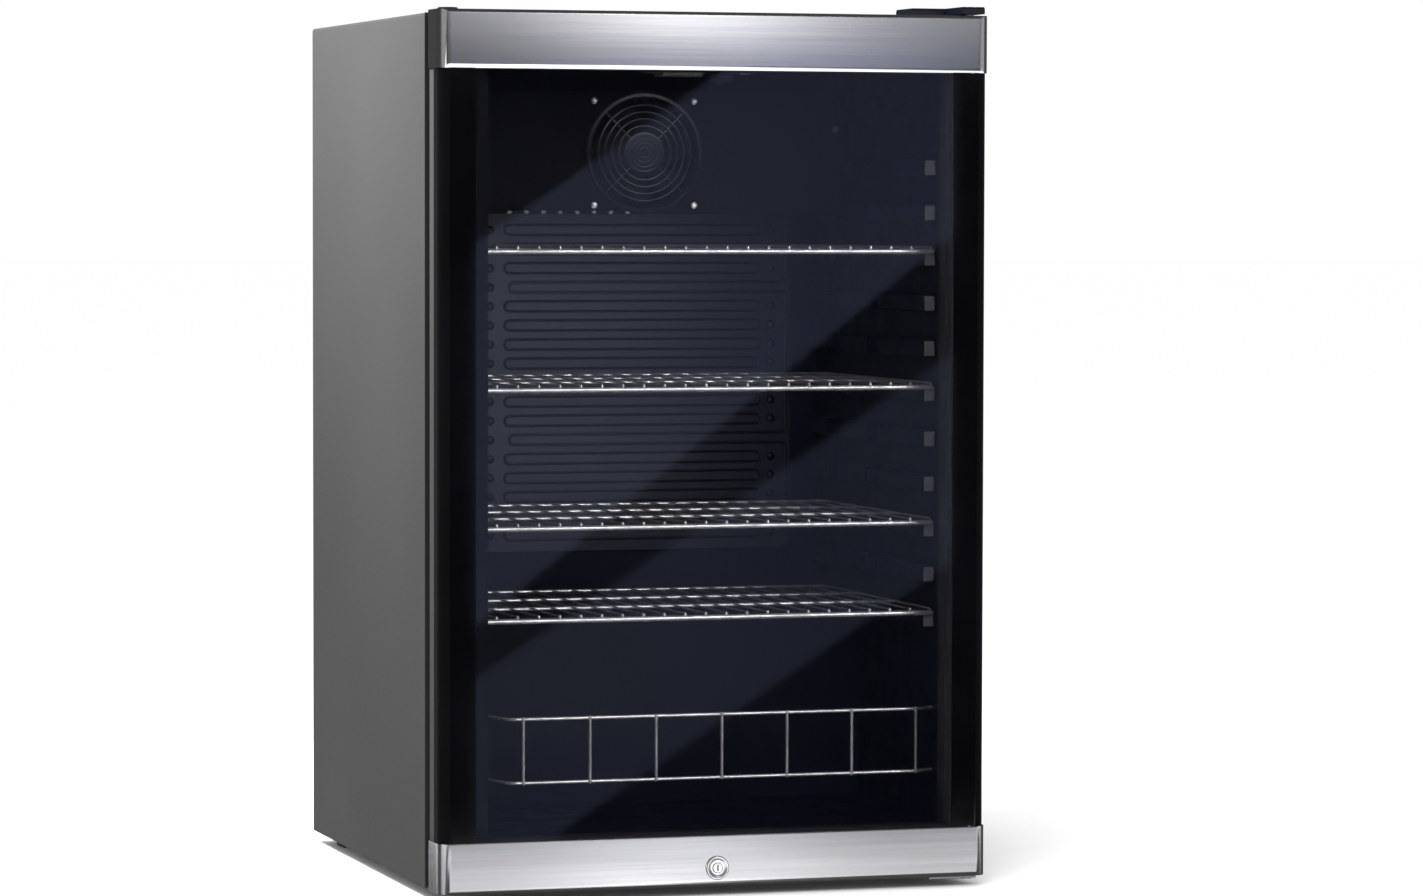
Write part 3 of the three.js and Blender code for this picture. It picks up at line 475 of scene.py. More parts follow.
def add_turned_ring(bm, section, centre, sides=64):
    """A closed section of (radius, height) points turned round the y axis through a centre."""
    rings = []
    for a in full_turn(sides):
        rings.append([Vector(centre) + Vector((r * math.cos(a), h, r * math.sin(a))) for r, h in section])
    new_faces(bm, rings, joined_ends=True)


def round_section(radius, height, thickness, sides=8):
    """A round wire's section for a turned ring."""
    return [(radius + thickness * math.cos(t), height + thickness * math.sin(t)) for t in full_turn(sides)]


# ---- Cabinet ----

ROOM = {"half_x": 245.5, "floor": 46, "ceiling": 790, "back": 390, "corner": 11}
HUMP = {"front": 254, "top": 240, "round": 9}  # step in the liner over the compressor
LINER_THICKNESS = 2.5
LEDGE = {"out": 12, "height": 17, "pitch": 44, "top_of_highest": 690.5, "levels": 11, "round": 3.0}
LEDGE_RUNS = ((25, 165), (195, 285), (322, 380))


def room_faces(bm):
    """The inside of the liner as a thin open box with a step at its back."""
    front = extent("inner_liner")[0].y
    round_by = HUMP["round"]
    centre_y, centre_z = HUMP["front"] + round_by, HUMP["top"] - round_by
    turns = [math.radians(180 - 22.5 * i) for i in range(5)]
    nose = [(centre_y + round_by * math.cos(t), centre_z + round_by * math.sin(t)) for t in turns]
    profile = [
        (front, ROOM["floor"]),
        (HUMP["front"], ROOM["floor"]),
        *nose,
        (ROOM["back"], HUMP["top"]),
        (ROOM["back"], ROOM["ceiling"]),
        (front, ROOM["ceiling"]),
    ]
    sides = [[bm.verts.new((x, y, z)) for y, z in profile] for x in (-ROOM["half_x"], ROOM["half_x"])]
    left, right = sides
    bm.faces.new(left)
    bm.faces.new(list(reversed(right)))
    for i in range(len(profile) - 1):
        bm.faces.new((left[i], right[i], right[i + 1], left[i + 1]))
    inner = [e for e in bm.edges if not e.is_boundary and e.calc_face_angle() > math.radians(40)]
    bmesh.ops.bevel(bm, geom=inner, offset=ROOM["corner"], segments=5, profile=0.5, affect="EDGES")
    bmesh.ops.recalc_face_normals(bm, faces=bm.faces)
    bmesh.ops.solidify(bm, geom=bm.faces[:], thickness=-LINER_THICKNESS)


def ledge_boxes():
    """Each ledge's lowest and highest corner on the right wall."""
    duct_low, duct_high = extent("fan_housing")
    for level in range(LEDGE["levels"]):
        top = LEDGE["top_of_highest"] - level * LEDGE["pitch"]
        for near, far in LEDGE_RUNS:
            if top > duct_low.z and far > duct_low.y:
                continue
            lowest = HUMP["top"] - 1 if far > HUMP["front"] else 0
            x = ROOM["half_x"]
            yield (x - LEDGE["out"], near, max(top - LEDGE["height"], lowest)), (x + 1, far, top)


def add_liner():
    """The thin open box with its step and all the ledges."""
    bm = bmesh.new()
    room_faces(bm)
    for low, high in ledge_boxes():
        add_mirrored_boxes(bm, low, high, LEDGE["round"], 3)
    add_piece("liner_with_ledges", bm, "inner_liner", sharp=45)


# Pale patches on the ledges' front ends: a painted highlight for the light that falls on them.
LEDGE_FRONT_HIGHLIGHT = {"thick": 0.8, "margin": 1.5, "inset": 0.5, "color": (0.12, 0.12, 0.135)}


def add_ledge_front_highlights():
    """Pale patches on the front ends of the foremost ledges: a painted highlight where light falls on their
    fronts.
    """
    bm = bmesh.new()
    thick, margin = LEDGE_FRONT_HIGHLIGHT["thick"], LEDGE_FRONT_HIGHLIGHT["margin"]
    for low, high in ledge_boxes():
        if low[1] > LEDGE_RUNS[0][0]:
            continue
        near = low[1] - GAP
        highlight_low = (low[0] + LEDGE_FRONT_HIGHLIGHT["inset"], near - thick, low[2] + margin)
        highlight_high = (ROOM["half_x"] - margin, near, high[2] - margin)
        add_mirrored_boxes(bm, highlight_low, highlight_high, 0.3, 2)
    front_highlights = add_piece("ledge_front_highlights", bm, "inner_liner", slot="grey_plastic", replaces=[])
    # The pale colour paints the highlight on the ledges' front faces.
    front_highlights.data.materials[0] = moulded_plastic("ledge_front_painted_highlight", LEDGE_FRONT_HIGHLIGHT["color"], 0.4)


BAY_TOP = 208  # of the compressor bay
PANEL_RIBS = {"places": (-150, 0, 150), "half": 9, "out": 1.6, "above_bay": 70, "below_top": 60}
PANEL_SCREWS = {"radius": 4.2, "from_side": 9, "above_bay": 20, "below_top": 12}


def add_back_panel():
    """The folded panel, its pressed ribs and the screws along its edges."""
    softened("back_panel", 0.4)
    low, high = extent("back_panel")
    ribs = bmesh.new()
    half, out = PANEL_RIBS["half"], high.y + PANEL_RIBS["out"]
    foot, head = BAY_TOP + PANEL_RIBS["above_bay"], high.z - PANEL_RIBS["below_top"]
    for x in PANEL_RIBS["places"]:
        add_box(ribs, (x - half, high.y - 0.6, foot), (x + half, out, head), 1.5, 2)
    add_piece("back_panel_ribs", ribs, "back_panel", replaces=[])
    screws = bmesh.new()
    side = PANEL_SCREWS["from_side"]
    for x in (low.x + side, 0, high.x - side):
        for z in (BAY_TOP + PANEL_SCREWS["above_bay"], high.z - PANEL_SCREWS["below_top"]):
            add_screw_head(screws, (x, high.y, z), PANEL_SCREWS["radius"], facing=1)
    add_piece("back_panel_screws", screws, "back_panel", slot="galvanised_steel", replaces=[])


# A pan head's outline and its raised cross, as shares of the head's radius.
SCREW_DOME = ((0, 0), (1, 0), (0.97, 0.35), (0.8, 0.42), (0.45, 0.5), (0, 0.52))
SCREW_CROSS = {"reach": 0.55, "low": 0.3, "high": 0.62}
CROSS_BAR = 0.35  # half a bar's width, the same on every head


def add_screw_head(bm, face, radius, facing=-1):
    """A pan head on a face across y, with a raised cross; facing gives its side."""
    x, y, z = face
    add_lathe(bm, [(r * radius, facing * h * radius) for r, h in SCREW_DOME], face, "y", 24)
    reach = radius * SCREW_CROSS["reach"]
    near, far = sorted(y + facing * SCREW_CROSS[end] * radius for end in ("low", "high"))
    for half_x, half_z in ((reach, CROSS_BAR), (CROSS_BAR, reach)):
        add_box(bm, (x - half_x, near, z - half_z), (x + half_x, far, z + half_z), 0.1, 1)


# ---- Inside the cabinet ----

# Pressed channels of the evaporator plate: short loops level by level, and one long run round groups of them.
CHANNEL = {"radius": 1.9, "sunk": 0.9, "half": 5.2, "left": -87.5, "right": 175, "outer": 209}
CHANNEL_LEVELS = {"highest": 619.5, "pitch": 19.5, "count": 17, "gaps": (3, 11)}
RIVETS = {"left": -108, "right": 193, "radius": 5}


def stadium(left, right, centre_z, half, y):
    """A closed loop of two straight runs joined by half circles."""
    right_end = arc_points((right, y, centre_z), half, 9, start=-90, sweep=180)
    return right_end + arc_points((left, y, centre_z), half, 9, start=90, sweep=180)


def add_loop_tube(bm, points, radius, sides=8):
    """A round tube along a closed loop across the y axis."""
    rings = []
    count = len(points)
    for i, point in enumerate(points):
        along = points[(i + 1) % count] - points[i - 1]
        ring, _ = ring_round(point, along, radius, sides, Vector((0, 1, 0)))
        rings.append(ring)
    new_faces(bm, rings, joined_ends=True)


def level_height(level):
    return CHANNEL_LEVELS["highest"] - level * CHANNEL_LEVELS["pitch"]


def long_run(y):
    """The run down the plate's right side, which turns in to the left end at each gap between the loops."""
    half, left, outer = CHANNEL["half"], CHANNEL["left"], CHANNEL["outer"]
    route = [(outer, y, level_height(0))]
    for gap in CHANNEL_LEVELS["gaps"]:
        z = level_height(gap)
        route += [(outer, y, z + half), (left, y, z + half), (left, y, z - half), (outer, y, z - half)]
    route.append((outer, y, level_height(CHANNEL_LEVELS["count"] - 1)))
    return bent(route, half, 6)


def add_evaporator():
    """A roll-bond plate: refrigerant channels stand out of a flat sheet."""
    softened("evaporator_plate", 0.4)
    y = extent("evaporator_plate")[0].y + CHANNEL["sunk"]
    r = RIVETS["radius"]
    rivet = [(0, 1), (r, 0.5), (r * 0.87, -1.6), (r * 0.6, -2.6), (0, -2.9)]
    bm = bmesh.new()
    for level in range(CHANNEL_LEVELS["count"]):
        z = level_height(level)
        add_lathe(bm, rivet, (RIVETS["left"], y, z), "y", 20)
        if level in CHANNEL_LEVELS["gaps"]:
            continue
        add_lathe(bm, rivet, (RIVETS["right"], y, z), "y", 20)
        loop = stadium(CHANNEL["left"], CHANNEL["right"], z, CHANNEL["half"], y)
        add_loop_tube(bm, loop, CHANNEL["radius"])
    add_tube(bm, long_run(y), CHANNEL["radius"])
    channels = add_piece("evaporator_channels", bm, "evaporator_plate", replaces=[])
    # The channels are coloured far darker than the plate: painted shade along their relief.
    color = shade(COLORS["coated_aluminium"], 0.2)
    channels.data.materials[0] = sheet_paint("channel_painted_shade", color, 0.3, 0.36, 500, 0.05)


FAN_GUARD = {"rings": 4, "first": 27.2, "pitch": 7.0, "wire": 1.2, "hub": 21, "spokes": 4, "spoke": 1.1}
HUB_RIDGES = (5, 9.5, 14, 18.5)


def add_fan_guard():
    """Concentric rings on diagonal spokes, between a ribbed hub and a screwed rim."""
    low, high = extent("fan_guard")
    centre = Vector((middle("fan_guard").x, 0, middle("fan_guard").z))
    rim = (high.x - low.x) / 2
    bm = bmesh.new()
    flat = [(rim - 4.5, high.y), (rim, high.y), (rim, low.y + 1), (rim - 1, low.y), (rim - 4, low.y)]
    add_turned_ring(bm, flat, centre, 72)
    for ring in range(FAN_GUARD["rings"]):
        radius = FAN_GUARD["first"] + ring * FAN_GUARD["pitch"]
        section = round_section(radius, (low.y + high.y) / 2, FAN_GUARD["wire"])
        add_turned_ring(bm, section, centre, 72)
    hub = FAN_GUARD["hub"]
    profile = [(0, high.y), (hub, high.y), (hub, low.y + 0.9), (hub - 1.5, low.y + 0.2), (0, low.y + 0.6)]
    add_lathe(bm, profile, centre, "y", 56)
    for radius in HUB_RIDGES:
        add_turned_ring(bm, round_section(radius, low.y + 0.8, 0.8), centre, 56)
    lift = Vector((0, high.y - 1.1, 0))
    for spoke in range(FAN_GUARD["spokes"]):
        turn = math.radians(45 + 90 * spoke)
        outward = Vector((math.cos(turn), 0, math.sin(turn)))
        start, end = centre + outward * (hub - 1), centre + outward * (rim - 3)
        add_tube(bm, [start + lift, end + lift], FAN_GUARD["spoke"], 8)
    add_piece("fan_guard_rings", bm, "fan_guard")


FAN = {"blades": 7, "root": 13, "tip": 50.5, "sweep": 0.28, "depth": 11, "camber": 1.6, "thickness": 0.9}


def add_fan_blades():
    """Cambered blades round a domed hub."""
    low, high = extent("fan_blades")
    centre = middle("fan_blades")
    hub = [(0, high.y - 1), (15.5, high.y - 1), (17, high.y - 3), (17, low.y + 5)]
    hub += [(15.5, low.y + 2.6), (9, low.y + 1.6), (0, low.y + 1.4)]
    bm = bmesh.new()
    add_lathe(bm, hub, (centre.x, 0, centre.z), "y", 40)
    for turn in full_turn(FAN["blades"]):
        add_blade(bm, centre, turn)
    add_piece("fan_rotor", bm, "fan_blades")


def blade_section(centre, turn, u, chords=6):
    """Points round a blade's section, a share u of the way from its root to its tip."""
    radius = FAN["root"] + (FAN["tip"] - FAN["root"]) * u
    half_width = (8 + 4 * math.sin(math.pi * u * 0.8)) / radius
    sweep = FAN["sweep"] * u * u
    front_side, back_side = [], []
    for j in range(chords + 1):
        v = j / chords - 0.5
        a = turn + sweep + 2 * v * half_width
        camber = FAN["camber"] * (1 - 4 * v * v)
        y = centre.y + v * FAN["depth"] * (1 - 0.3 * u) - camber
        x, z = centre.x + radius * math.cos(a), centre.z + radius * math.sin(a)
        edge = FAN["thickness"] * (1.05 - 4 * v * v * 0.8)
        front_side.append(Vector((x, y - edge, z)))
        back_side.append(Vector((x, y + edge, z)))
    return front_side + back_side[::-1]


def add_blade(bm, centre, turn, spans=6):
    new_faces(bm, [blade_section(centre, turn, i / spans) for i in range(spans + 1)])


SCREW = {"head_behind_face": 1.7, "shank": 1.7, "shank_length": 14}


def add_screws():
    """The four screws of the fan guard and the one of the housing."""
    for name in [f"fan_screw_{i}" for i in range(1, 5)] + ["housing_screw"]:
        low, high = extent(name)
        centre = middle(name)
        shank, start = SCREW["shank"], high.y - SCREW["shank_length"]
        bm = bmesh.new()
        face = (centre.x, low.y + SCREW["head_behind_face"], centre.z)
        add_screw_head(bm, face, (high.x - low.x) / 2)
        profile = [(0, start), (shank, start), (shank, high.y), (0, high.y)]
        add_lathe(bm, profile, (centre.x, 0, centre.z), "y", 12)
        add_piece(f"{name}_cross_head", bm, name)


DIAL = {"points": 96, "flutes": 24, "flute": 0.035, "spindle": 2.9, "pointer": (1.6, 11)}


def dial_ring(centre, z, radius):
    """One level of the dial's fluted rim."""
    ring = []
    for a in full_turn(DIAL["points"]):
        r = radius * (1 - DIAL["flute"] * (1 + math.cos(DIAL["flutes"] * a)) / 2)
        ring.append(Vector((centre.x + r * math.cos(a), centre.y + r * math.sin(a), z)))
    return ring


def add_lamp_and_controls():
    """The lamp with its switch, and the thermostat's dial with a pointer across its face."""
    softened("lamp_housing", 1.4, 3)
    softened("lamp_lens", 0.8, 2)
    softened("light_switch", 0.5, 2)
    low, high = extent("thermostat_knob")
    centre = middle("thermostat_knob")
    radius = (high.x - low.x) / 2
    face = low.z + 3
    rim = ((high.z - 7, 1.0), (face + 1.2, 0.97), (face + 0.3, 0.93), (face, 0.86))
    bm = bmesh.new()
    new_faces(bm, [dial_ring(centre, z, radius * scale) for z, scale in rim])
    spindle = DIAL["spindle"]
    profile = [(0, high.z), (spindle, high.z), (spindle, face + 2), (0, face + 2)]
    add_lathe(bm, profile, (centre.x, centre.y, 0), "z", 16)
    half_x, half_y = DIAL["pointer"]
    pointer_low = (centre.x - half_x, centre.y - half_y, low.z)
    add_box(bm, pointer_low, (centre.x + half_x, centre.y + half_y, face + 0.6), 0.8, 2)
    add_piece("thermostat_dial", bm, "thermostat_knob")


# Numbers and radii of a shelf's wires; the seat is where the wires lie on the cross bars.
SHELF = {"wires": 22, "wire": 1.1, "rows": 3, "cross": 1.9, "rail": 1.55, "bar": 2.65, "stud": 1.8}

SHELF_SEAT = 3  # below the top
RAIL_INSET = 1.75


def add_shelf(node):
    """Round wires from front to back, welded over cross bars and ending in studs on a thick front bar."""
    low, high = extent(node)
    seat = high.z - SHELF_SEAT
    inner = high.x - RAIL_INSET
    bm = bmesh.new()
    for side in (-1, 1):
        rail = [(side * inner, low.y + 2.4, seat + 1.5), (side * inner, high.y - 1.6, seat + 1.5)]
        add_tube(bm, rail, SHELF["rail"], 12, rounded=True)
    for row in range(1, SHELF["rows"] + 1):
        y = low.y + (high.y - low.y - 3) * row / SHELF["rows"]
        add_tube(bm, [(-inner, y, seat + 1.0), (inner, y, seat + 1.0)], SHELF["cross"], 12, rounded=True)
    end, front, bar_z = inner + 1.2, low.y + 2.7, seat - 2.2
    add_tube(bm, [(-end, front, bar_z), (end, front, bar_z)], SHELF["bar"], 16, rounded=True)
    pitch = 2 * inner / (SHELF["wires"] + 1)
    top, stud_y = seat + 1.75, low.y + 1.9
    for i in range(1, SHELF["wires"] + 1):
        x = -inner + i * pitch
        add_tube(bm, [(x, high.y - 1.8, top), (x, low.y + 1.4, top)], SHELF["wire"], 8, rounded=True)
        stud = [(x, stud_y, seat - 1), (x, stud_y, seat + 1.9)]
        add_tube(bm, stud, SHELF["stud"], 10, rounded=True)
    add_piece(f"{node}_wires", bm, node, sharp=60)


BOTTLE_GUARD = {"radius": 1.8, "first": -171.5, "pitch": 66, "uprights": 7, "left_step": 42, "right_step": 10}


def add_bottle_guard():
    """Two round rails joined by uprights; the ends step back to the walls."""
    low, high = extent("bottle_guard")
    radius, first, pitch = BOTTLE_GUARD["radius"], BOTTLE_GUARD["first"], BOTTLE_GUARD["pitch"]
    y = low.y + 3.0
    left_y, right_y = y + BOTTLE_GUARD["left_step"], y + BOTTLE_GUARD["right_step"]
    rows = (low.z + radius, high.z - radius)
    wall = ROOM["half_x"] - 0.6
    left, right = first - 14, first + (BOTTLE_GUARD["uprights"] - 1) * pitch + 8
    bm = bmesh.new()
    for z in rows:
        route = [(-wall, left_y, z), (left - 10, left_y, z), (left, y, z)]
        route += [(right, y, z), (right + 6, right_y, z), (wall, right_y, z)]
        add_tube(bm, bent(route, 9, 6), radius, 12)
    for i in range(BOTTLE_GUARD["uprights"]):
        x = first + i * pitch
        upright = [(x, y - 1.6, rows[0] - 1), (x, y - 1.6, rows[1] + 1)]
        add_tube(bm, upright, radius * 0.9, 12, rounded=True)
    add_piece("bottle_guard_wires", bm, "bottle_guard", sharp=60)


# ---- Door ----


def add_door():
    softened("glazing_spacer", 0.3)
    softened("door_inner_frame", 1.2, 2)
    for pillar in ("left_pillar", "right_pillar"):
        add_pillar(pillar)
    for trim in ("top_trim", "bottom_trim"):
        softened(trim, 0.45, 3, sharp=20)
    for small in ("top_bush", "bottom_bush", "blanking_plug"):
        softened(small, 0.3)
    add_gasket()
    add_pane_border()
    add_lock()


PILLAR = {"corner": 12, "lip": 1.2, "over_glass": 11, "edge_strip": 16}


def add_upright_prism(name, outline, node, span, slot=None, replaces=None):
    """An (x, y) outline run from the bottom to the top of a span, with its long edges eased."""
    bm = bmesh.new()
    new_faces(bm, [[Vector((x, y, z)) for x, y in outline] for z in span])
    round_edges(bm, 0.4, 2)
    add_piece(name, bm, node, slot, replaces, sharp=50)


def add_pillar(node):
    """A gloss-black front with a rounded outer edge, and behind it the painted strip of the door's edge."""
    low, high = extent(node)
    side = 1 if middle(node).x > 0 else -1
    outer, inner = max(abs(low.x), abs(high.x)), min(abs(low.x), abs(high.x))
    shoulder = inner + PILLAR["over_glass"]
    corner = PILLAR["corner"]
    joint = high.y - PILLAR["edge_strip"]
    turns = [math.radians(10 * i) for i in range(10)]
    rounded = [(outer - corner * (1 - math.sin(t)), low.y + corner * (1 - math.cos(t))) for t in turns]
    front = [(inner, low.y + PILLAR["lip"]), (inner, low.y), *rounded, (outer, joint), (shoulder, joint)]
    front.append((shoulder, low.y + PILLAR["lip"]))
    strip = [(shoulder, joint + GAP), (outer, joint + GAP), (outer, high.y), (shoulder, high.y)]
    span = (low.z, high.z)
    add_upright_prism(f"{node}_front", [(side * x, y) for x, y in front], node, span)
    strip = [(side * x, y) for x, y in strip]
    add_upright_prism(f"{node}_edge_strip", strip, node, span, "cabinet_paint", [])


PANE_BORDER = {"left": -238, "right": -219, "margin": 12}


def add_pane_border():
    """The dark border along the handle side of the inner pane."""
    low, high = extent("inner_glass")
    margin = PANE_BORDER["margin"]
    bm = bmesh.new()
    corner = (PANE_BORDER["left"], high.y + 0.1, low.z + margin)
    add_box(bm, corner, (PANE_BORDER["right"], high.y + 0.4, high.z - margin))
    add_piece("pane_border", bm, "inner_glass", slot="dark_plastic", replaces=[])


def add_gasket():
    """A bellows profile: a barb into the frame, two folds and the magnet's tube at the front."""
    low, high = extent("door_gasket")
    back, front = low.y, high.y
    width = 12
    barb = [(1.2, back), (0.8, back + 1.4), (2.4, back + 2.5), (1.0, back + 3.7)]
    half = barb + [(2.2, back + 4.9), (0.5, back + 6.0), (0.2, front - 0.8), (0.8, front)]
    section = half + [(width - u, y) for u, y in reversed(half)]
    bm = bmesh.new()
    add_frame_ring(bm, section, high.x, low.z, high.z)
    add_piece("gasket_bellows", bm, "door_gasket", sharp=50)


def add_lock():
    """A polished escutcheon with a dished face round the key plug."""
    low, high = extent("lock_barrel")
    centre = (middle("lock_barrel").x, 0, middle("lock_barrel").z)
    flange = (high.x - low.x) / 2
    face = low.y
    seat = extent("bottom_trim")[0].y - GAP
    section = [
        (4.8, high.y),
        (9.0, high.y),
        (9.0, seat),
        (flange, seat),
        (flange, face + 0.9),
        (flange - 0.35, face + 0.3),
        (flange - 1.1, face),
        (flange - 2.2, face + 0.15),
        (flange - 3.6, face + 0.75),
        (6.4, face + 0.95),
        (5.4, face + 0.7),
        (4.8, face + 1.0),
    ]
    bm = bmesh.new()
    add_turned_ring(bm, section, centre, 64)
    add_piece("lock_escutcheon", bm, "lock_barrel", sharp=60)
    softened("lock_plug", 0.15)
    softened("lock_cam", 0.3)


# ---- Hinges, feet and plain sheet parts ----


# Nodes that keep their CAD shape, and the width and the steps of the rounds along their edges.
SOFTENED_PARTS = (
    (("outer_shell",), 0.45, 3),
    (("front_frame",), 0.25, 2),
    (("base_pan",), 0.4, 2),
    (("hinge_cover",), 0.9, 3),
    (("fan_motor",), 0.8, 2),
    (("top_hinge_plate", "bottom_hinge_plate", "lock_catch", "top_hinge_pin", "bottom_hinge_pin"), 0.3, 2),
    (("front_foot_left", "front_foot_right", "rear_foot_left", "rear_foot_right"), 1.0, 2),
    (("condenser_strap_left", "condenser_strap_right"), 0.3, 2),
    (("relay_cover",), 2.5, 4),
    (("drip_tray",), 0.9, 2),
    (("mains_inlet",), 1.2, 3),
)


def add_softened_parts():
    for nodes, width, segments in SOFTENED_PARTS:
        for node in nodes:
            softened(node, width, segments)


HOUSING_CORNER = 20  # radius of its upper corners


def add_housing():
    """Only the housing's outer edges are rounded, so that its slots and holes stay crisp."""
    low, high = extent("fan_housing")

    def on_corner(point):
        centre = (high.x - HOUSING_CORNER, high.z - HOUSING_CORNER)
        inside = Vector((abs(point.x) - centre[0], point.z - centre[1]))
        return min(inside) > 0 and inside.length > HOUSING_CORNER - 0.8

    def outer_edge(edge):
        point = FROM_ROW @ ((edge.verts[0].co + edge.verts[1].co) / 2)
        on_side = abs(point.x) > high.x - 0.5
        on_end = point.z > high.z - 0.5 or point.z < low.z + 0.5
        return on_side or on_end or on_corner(point)

    softened("fan_housing", 2.4, 4, outer_edge)
    add_edge_rivets(low)


EDGE_RIVETS = {"count": 9, "first": -113.5, "pitch": 17.6, "radius": 1.7, "above_edge": 1.8, "stretch": 1.5}


def add_edge_rivets(corner):
    """A row of small bright rivet heads along the housing's lower edge, left of the fan."""
    r = EDGE_RIVETS["radius"]
    profile = [(0, 1), (r, 1), (r, -0.4), (r * 0.7, -0.9), (0, -1.1)]
    bm = bmesh.new()
    for i in range(EDGE_RIVETS["count"]):
        x = EDGE_RIVETS["first"] + i * EDGE_RIVETS["pitch"]
        place = (x, corner.y, corner.z + EDGE_RIVETS["above_edge"])
        add_lathe(bm, profile, place, "y", 20, EDGE_RIVETS["stretch"])
    add_piece("edge_rivets", bm, "fan_housing", slot="lens_plastic", replaces=[])


# ---- Refrigeration ----

COMPRESSOR = {"radius": 56, "stretch": 1.25, "base": 12, "height": 138, "crown": 78, "feet": (82, 40)}


def compressor_profile():
    """The shell's outline: a drawn cup, a welded seam and a domed top."""
    radius, base = COMPRESSOR["radius"], COMPRESSOR["base"]
    rise = COMPRESSOR["height"] - COMPRESSOR["crown"]
    profile = [(0, base + 2), (radius - 14, base + 2), (radius - 5, base + 6), (radius, base + 16)]
    profile += [(radius, base + 64), (radius + 3, base + 66), (radius + 3, base + 71), (radius, base + 73)]
    for i in range(9):
        a = math.radians(10 * i)
        profile.append((2 + (radius - 2) * math.cos(a), base + COMPRESSOR["crown"] + rise * math.sin(a)))
    return profile + [(0, base + COMPRESSOR["height"])]


def add_compressor():
    """A welded oval shell on a base plate with rubber grommets."""
    x, y = middle("compressor").x, middle("compressor").y
    base = COMPRESSOR["base"]
    bm = bmesh.new()
    add_lathe(bm, compressor_profile(), (x, y, 0), "z", 64, COMPRESSOR["stretch"])
    add_box(bm, (x - 95, y - 50, base), (x + 95, y + 50, base + 3), 1.2, 2)
    grommet = [(0, 2.3), (9, 2.3), (9, 5), (6.5, 6.5), (6.5, 8.5), (9, 10), (9, 15.6), (5, 17), (0, 17)]
    across, along = COMPRESSOR["feet"]
    for sx in (-1, 1):
        for sy in (-1, 1):
            add_lathe(bm, grommet, (x + sx * across, y + sy * along, 0), "z", 24)
    add_piece("compressor_shell", bm, "compressor", sharp=35)


CONDENSER = {"half_x": 243, "low": 255, "high": 783, "pitch": 44, "y": 488, "tube": 2.6}
CONDENSER_WIRES = {"count": 62, "first": -213.5, "pitch": 7, "off_axis": 3.3, "radius": 0.75, "past_tube": 12}
DRIER_PLACE = (-140, 420)  # the drier stands upright there


def condenser_route():
    """From the top right down in a serpentine, and on to the top of the filter drier."""
    half_x, low, high, y = CONDENSER["half_x"], CONDENSER["low"], CONDENSER["high"], CONDENSER["y"]
    bend = CONDENSER["pitch"] / 2
    bends = round((high - low) / CONDENSER["pitch"])
    points = [Vector((half_x - bend, y, high))]
    for number in range(bends):
        z = high - number * CONDENSER["pitch"]
        side = 1 if number % 2 else -1
        end = side * (half_x - bend)
        for i in range(13):
            a = math.pi * i / 12
            points.append(Vector((end + side * bend * math.sin(a), y, z - bend + bend * math.cos(a))))
    tail = [
        (-half_x + bend, y, low),
        (-half_x + 6, y, low - 22),
        (-half_x + 10, y - 6, 195),
        (-180, 450, 180),
        (*DRIER_PLACE, 182),
        (*DRIER_PLACE, 168),
    ]
    return points + bent(tail, 18, 6)


def add_condenser():
    """A black serpentine tube with thin wires welded up and down across it on both sides."""
    bm = bmesh.new()
    add_tube(bm, condenser_route(), CONDENSER["tube"], 12)
    add_piece("condenser_tube", bm, "condenser", sharp=60)
    wires = bmesh.new()
    past = CONDENSER_WIRES["past_tube"]
    low, high = CONDENSER["low"] - past, CONDENSER["high"] + past
    for i in range(CONDENSER_WIRES["count"]):
        x = CONDENSER_WIRES["first"] + i * CONDENSER_WIRES["pitch"]
        for side in (-1, 1):
            y = CONDENSER["y"] + side * CONDENSER_WIRES["off_axis"]
            add_tube(wires, [(x, y, low), (x, y, high)], CONDENSER_WIRES["radius"], 6)
    add_piece("condenser_wires", wires, "condenser", replaces=[], sharp=70)


def add_pipe(name, node, route, bend, radius):
    """A pipe with bends along a route; it stands for a CAD pipe."""
    bm = bmesh.new()
    add_tube(bm, bent(route, bend, 8), radius, 12)
    add_piece(name, bm, node, sharp=60)


SUCTION_RADIUS = 3.5
SUCTION_ROUTE = ((55, 450, 80), (55, 460, 80), (-25, 454, 120), (-60, 430, 170), (-60, 430, 207.5))


def discharge_route():
    """From the compressor's right side round the corner of the bay and up to the start of the condenser."""
    start, riser, behind = 159.75, 231, 480.5
    top, coil_y = CONDENSER["high"], CONDENSER["y"]
    low_part = [(start, 388, 60), (start + 34, 388, 60), (riser, 466, 110), (riser, behind, 190)]
    return low_part + [(riser, behind, top - 26), (riser + 1, coil_y, top), (221.4, coil_y, top)]


def add_pipework():
    """The filter drier, a cartridge drawn in at both ends, and the two pipes."""
    drier = bmesh.new()
    profile = [(0, 76), (3, 76), (3.2, 84), (5, 90), (8, 93.5), (9, 97)]
    profile += [(9, 149), (8, 152.5), (5, 156), (3.2, 161), (3.2, 167), (0, 167)]
    add_lathe(drier, profile, (*DRIER_PLACE, 0), "z", 32)
    add_piece("filter_drier_body", drier, "filter_drier", sharp=50)
    add_pipe("discharge_line", "discharge_pipe", discharge_route(), 20, CONDENSER["tube"])
    add_pipe("suction_line", "suction_pipe", SUCTION_ROUTE, 18, SUCTION_RADIUS)


# ---- Camera, light and floor ----

# Angles in degrees; the place is in metres from the middle of the cabinet's front flange on the floor.
CAMERA = {"lens": 130.87, "yaw": 17.195, "pitch": -2.641, "roll": 0.122, "place": (-1.4525, -4.72505, 0.653)}


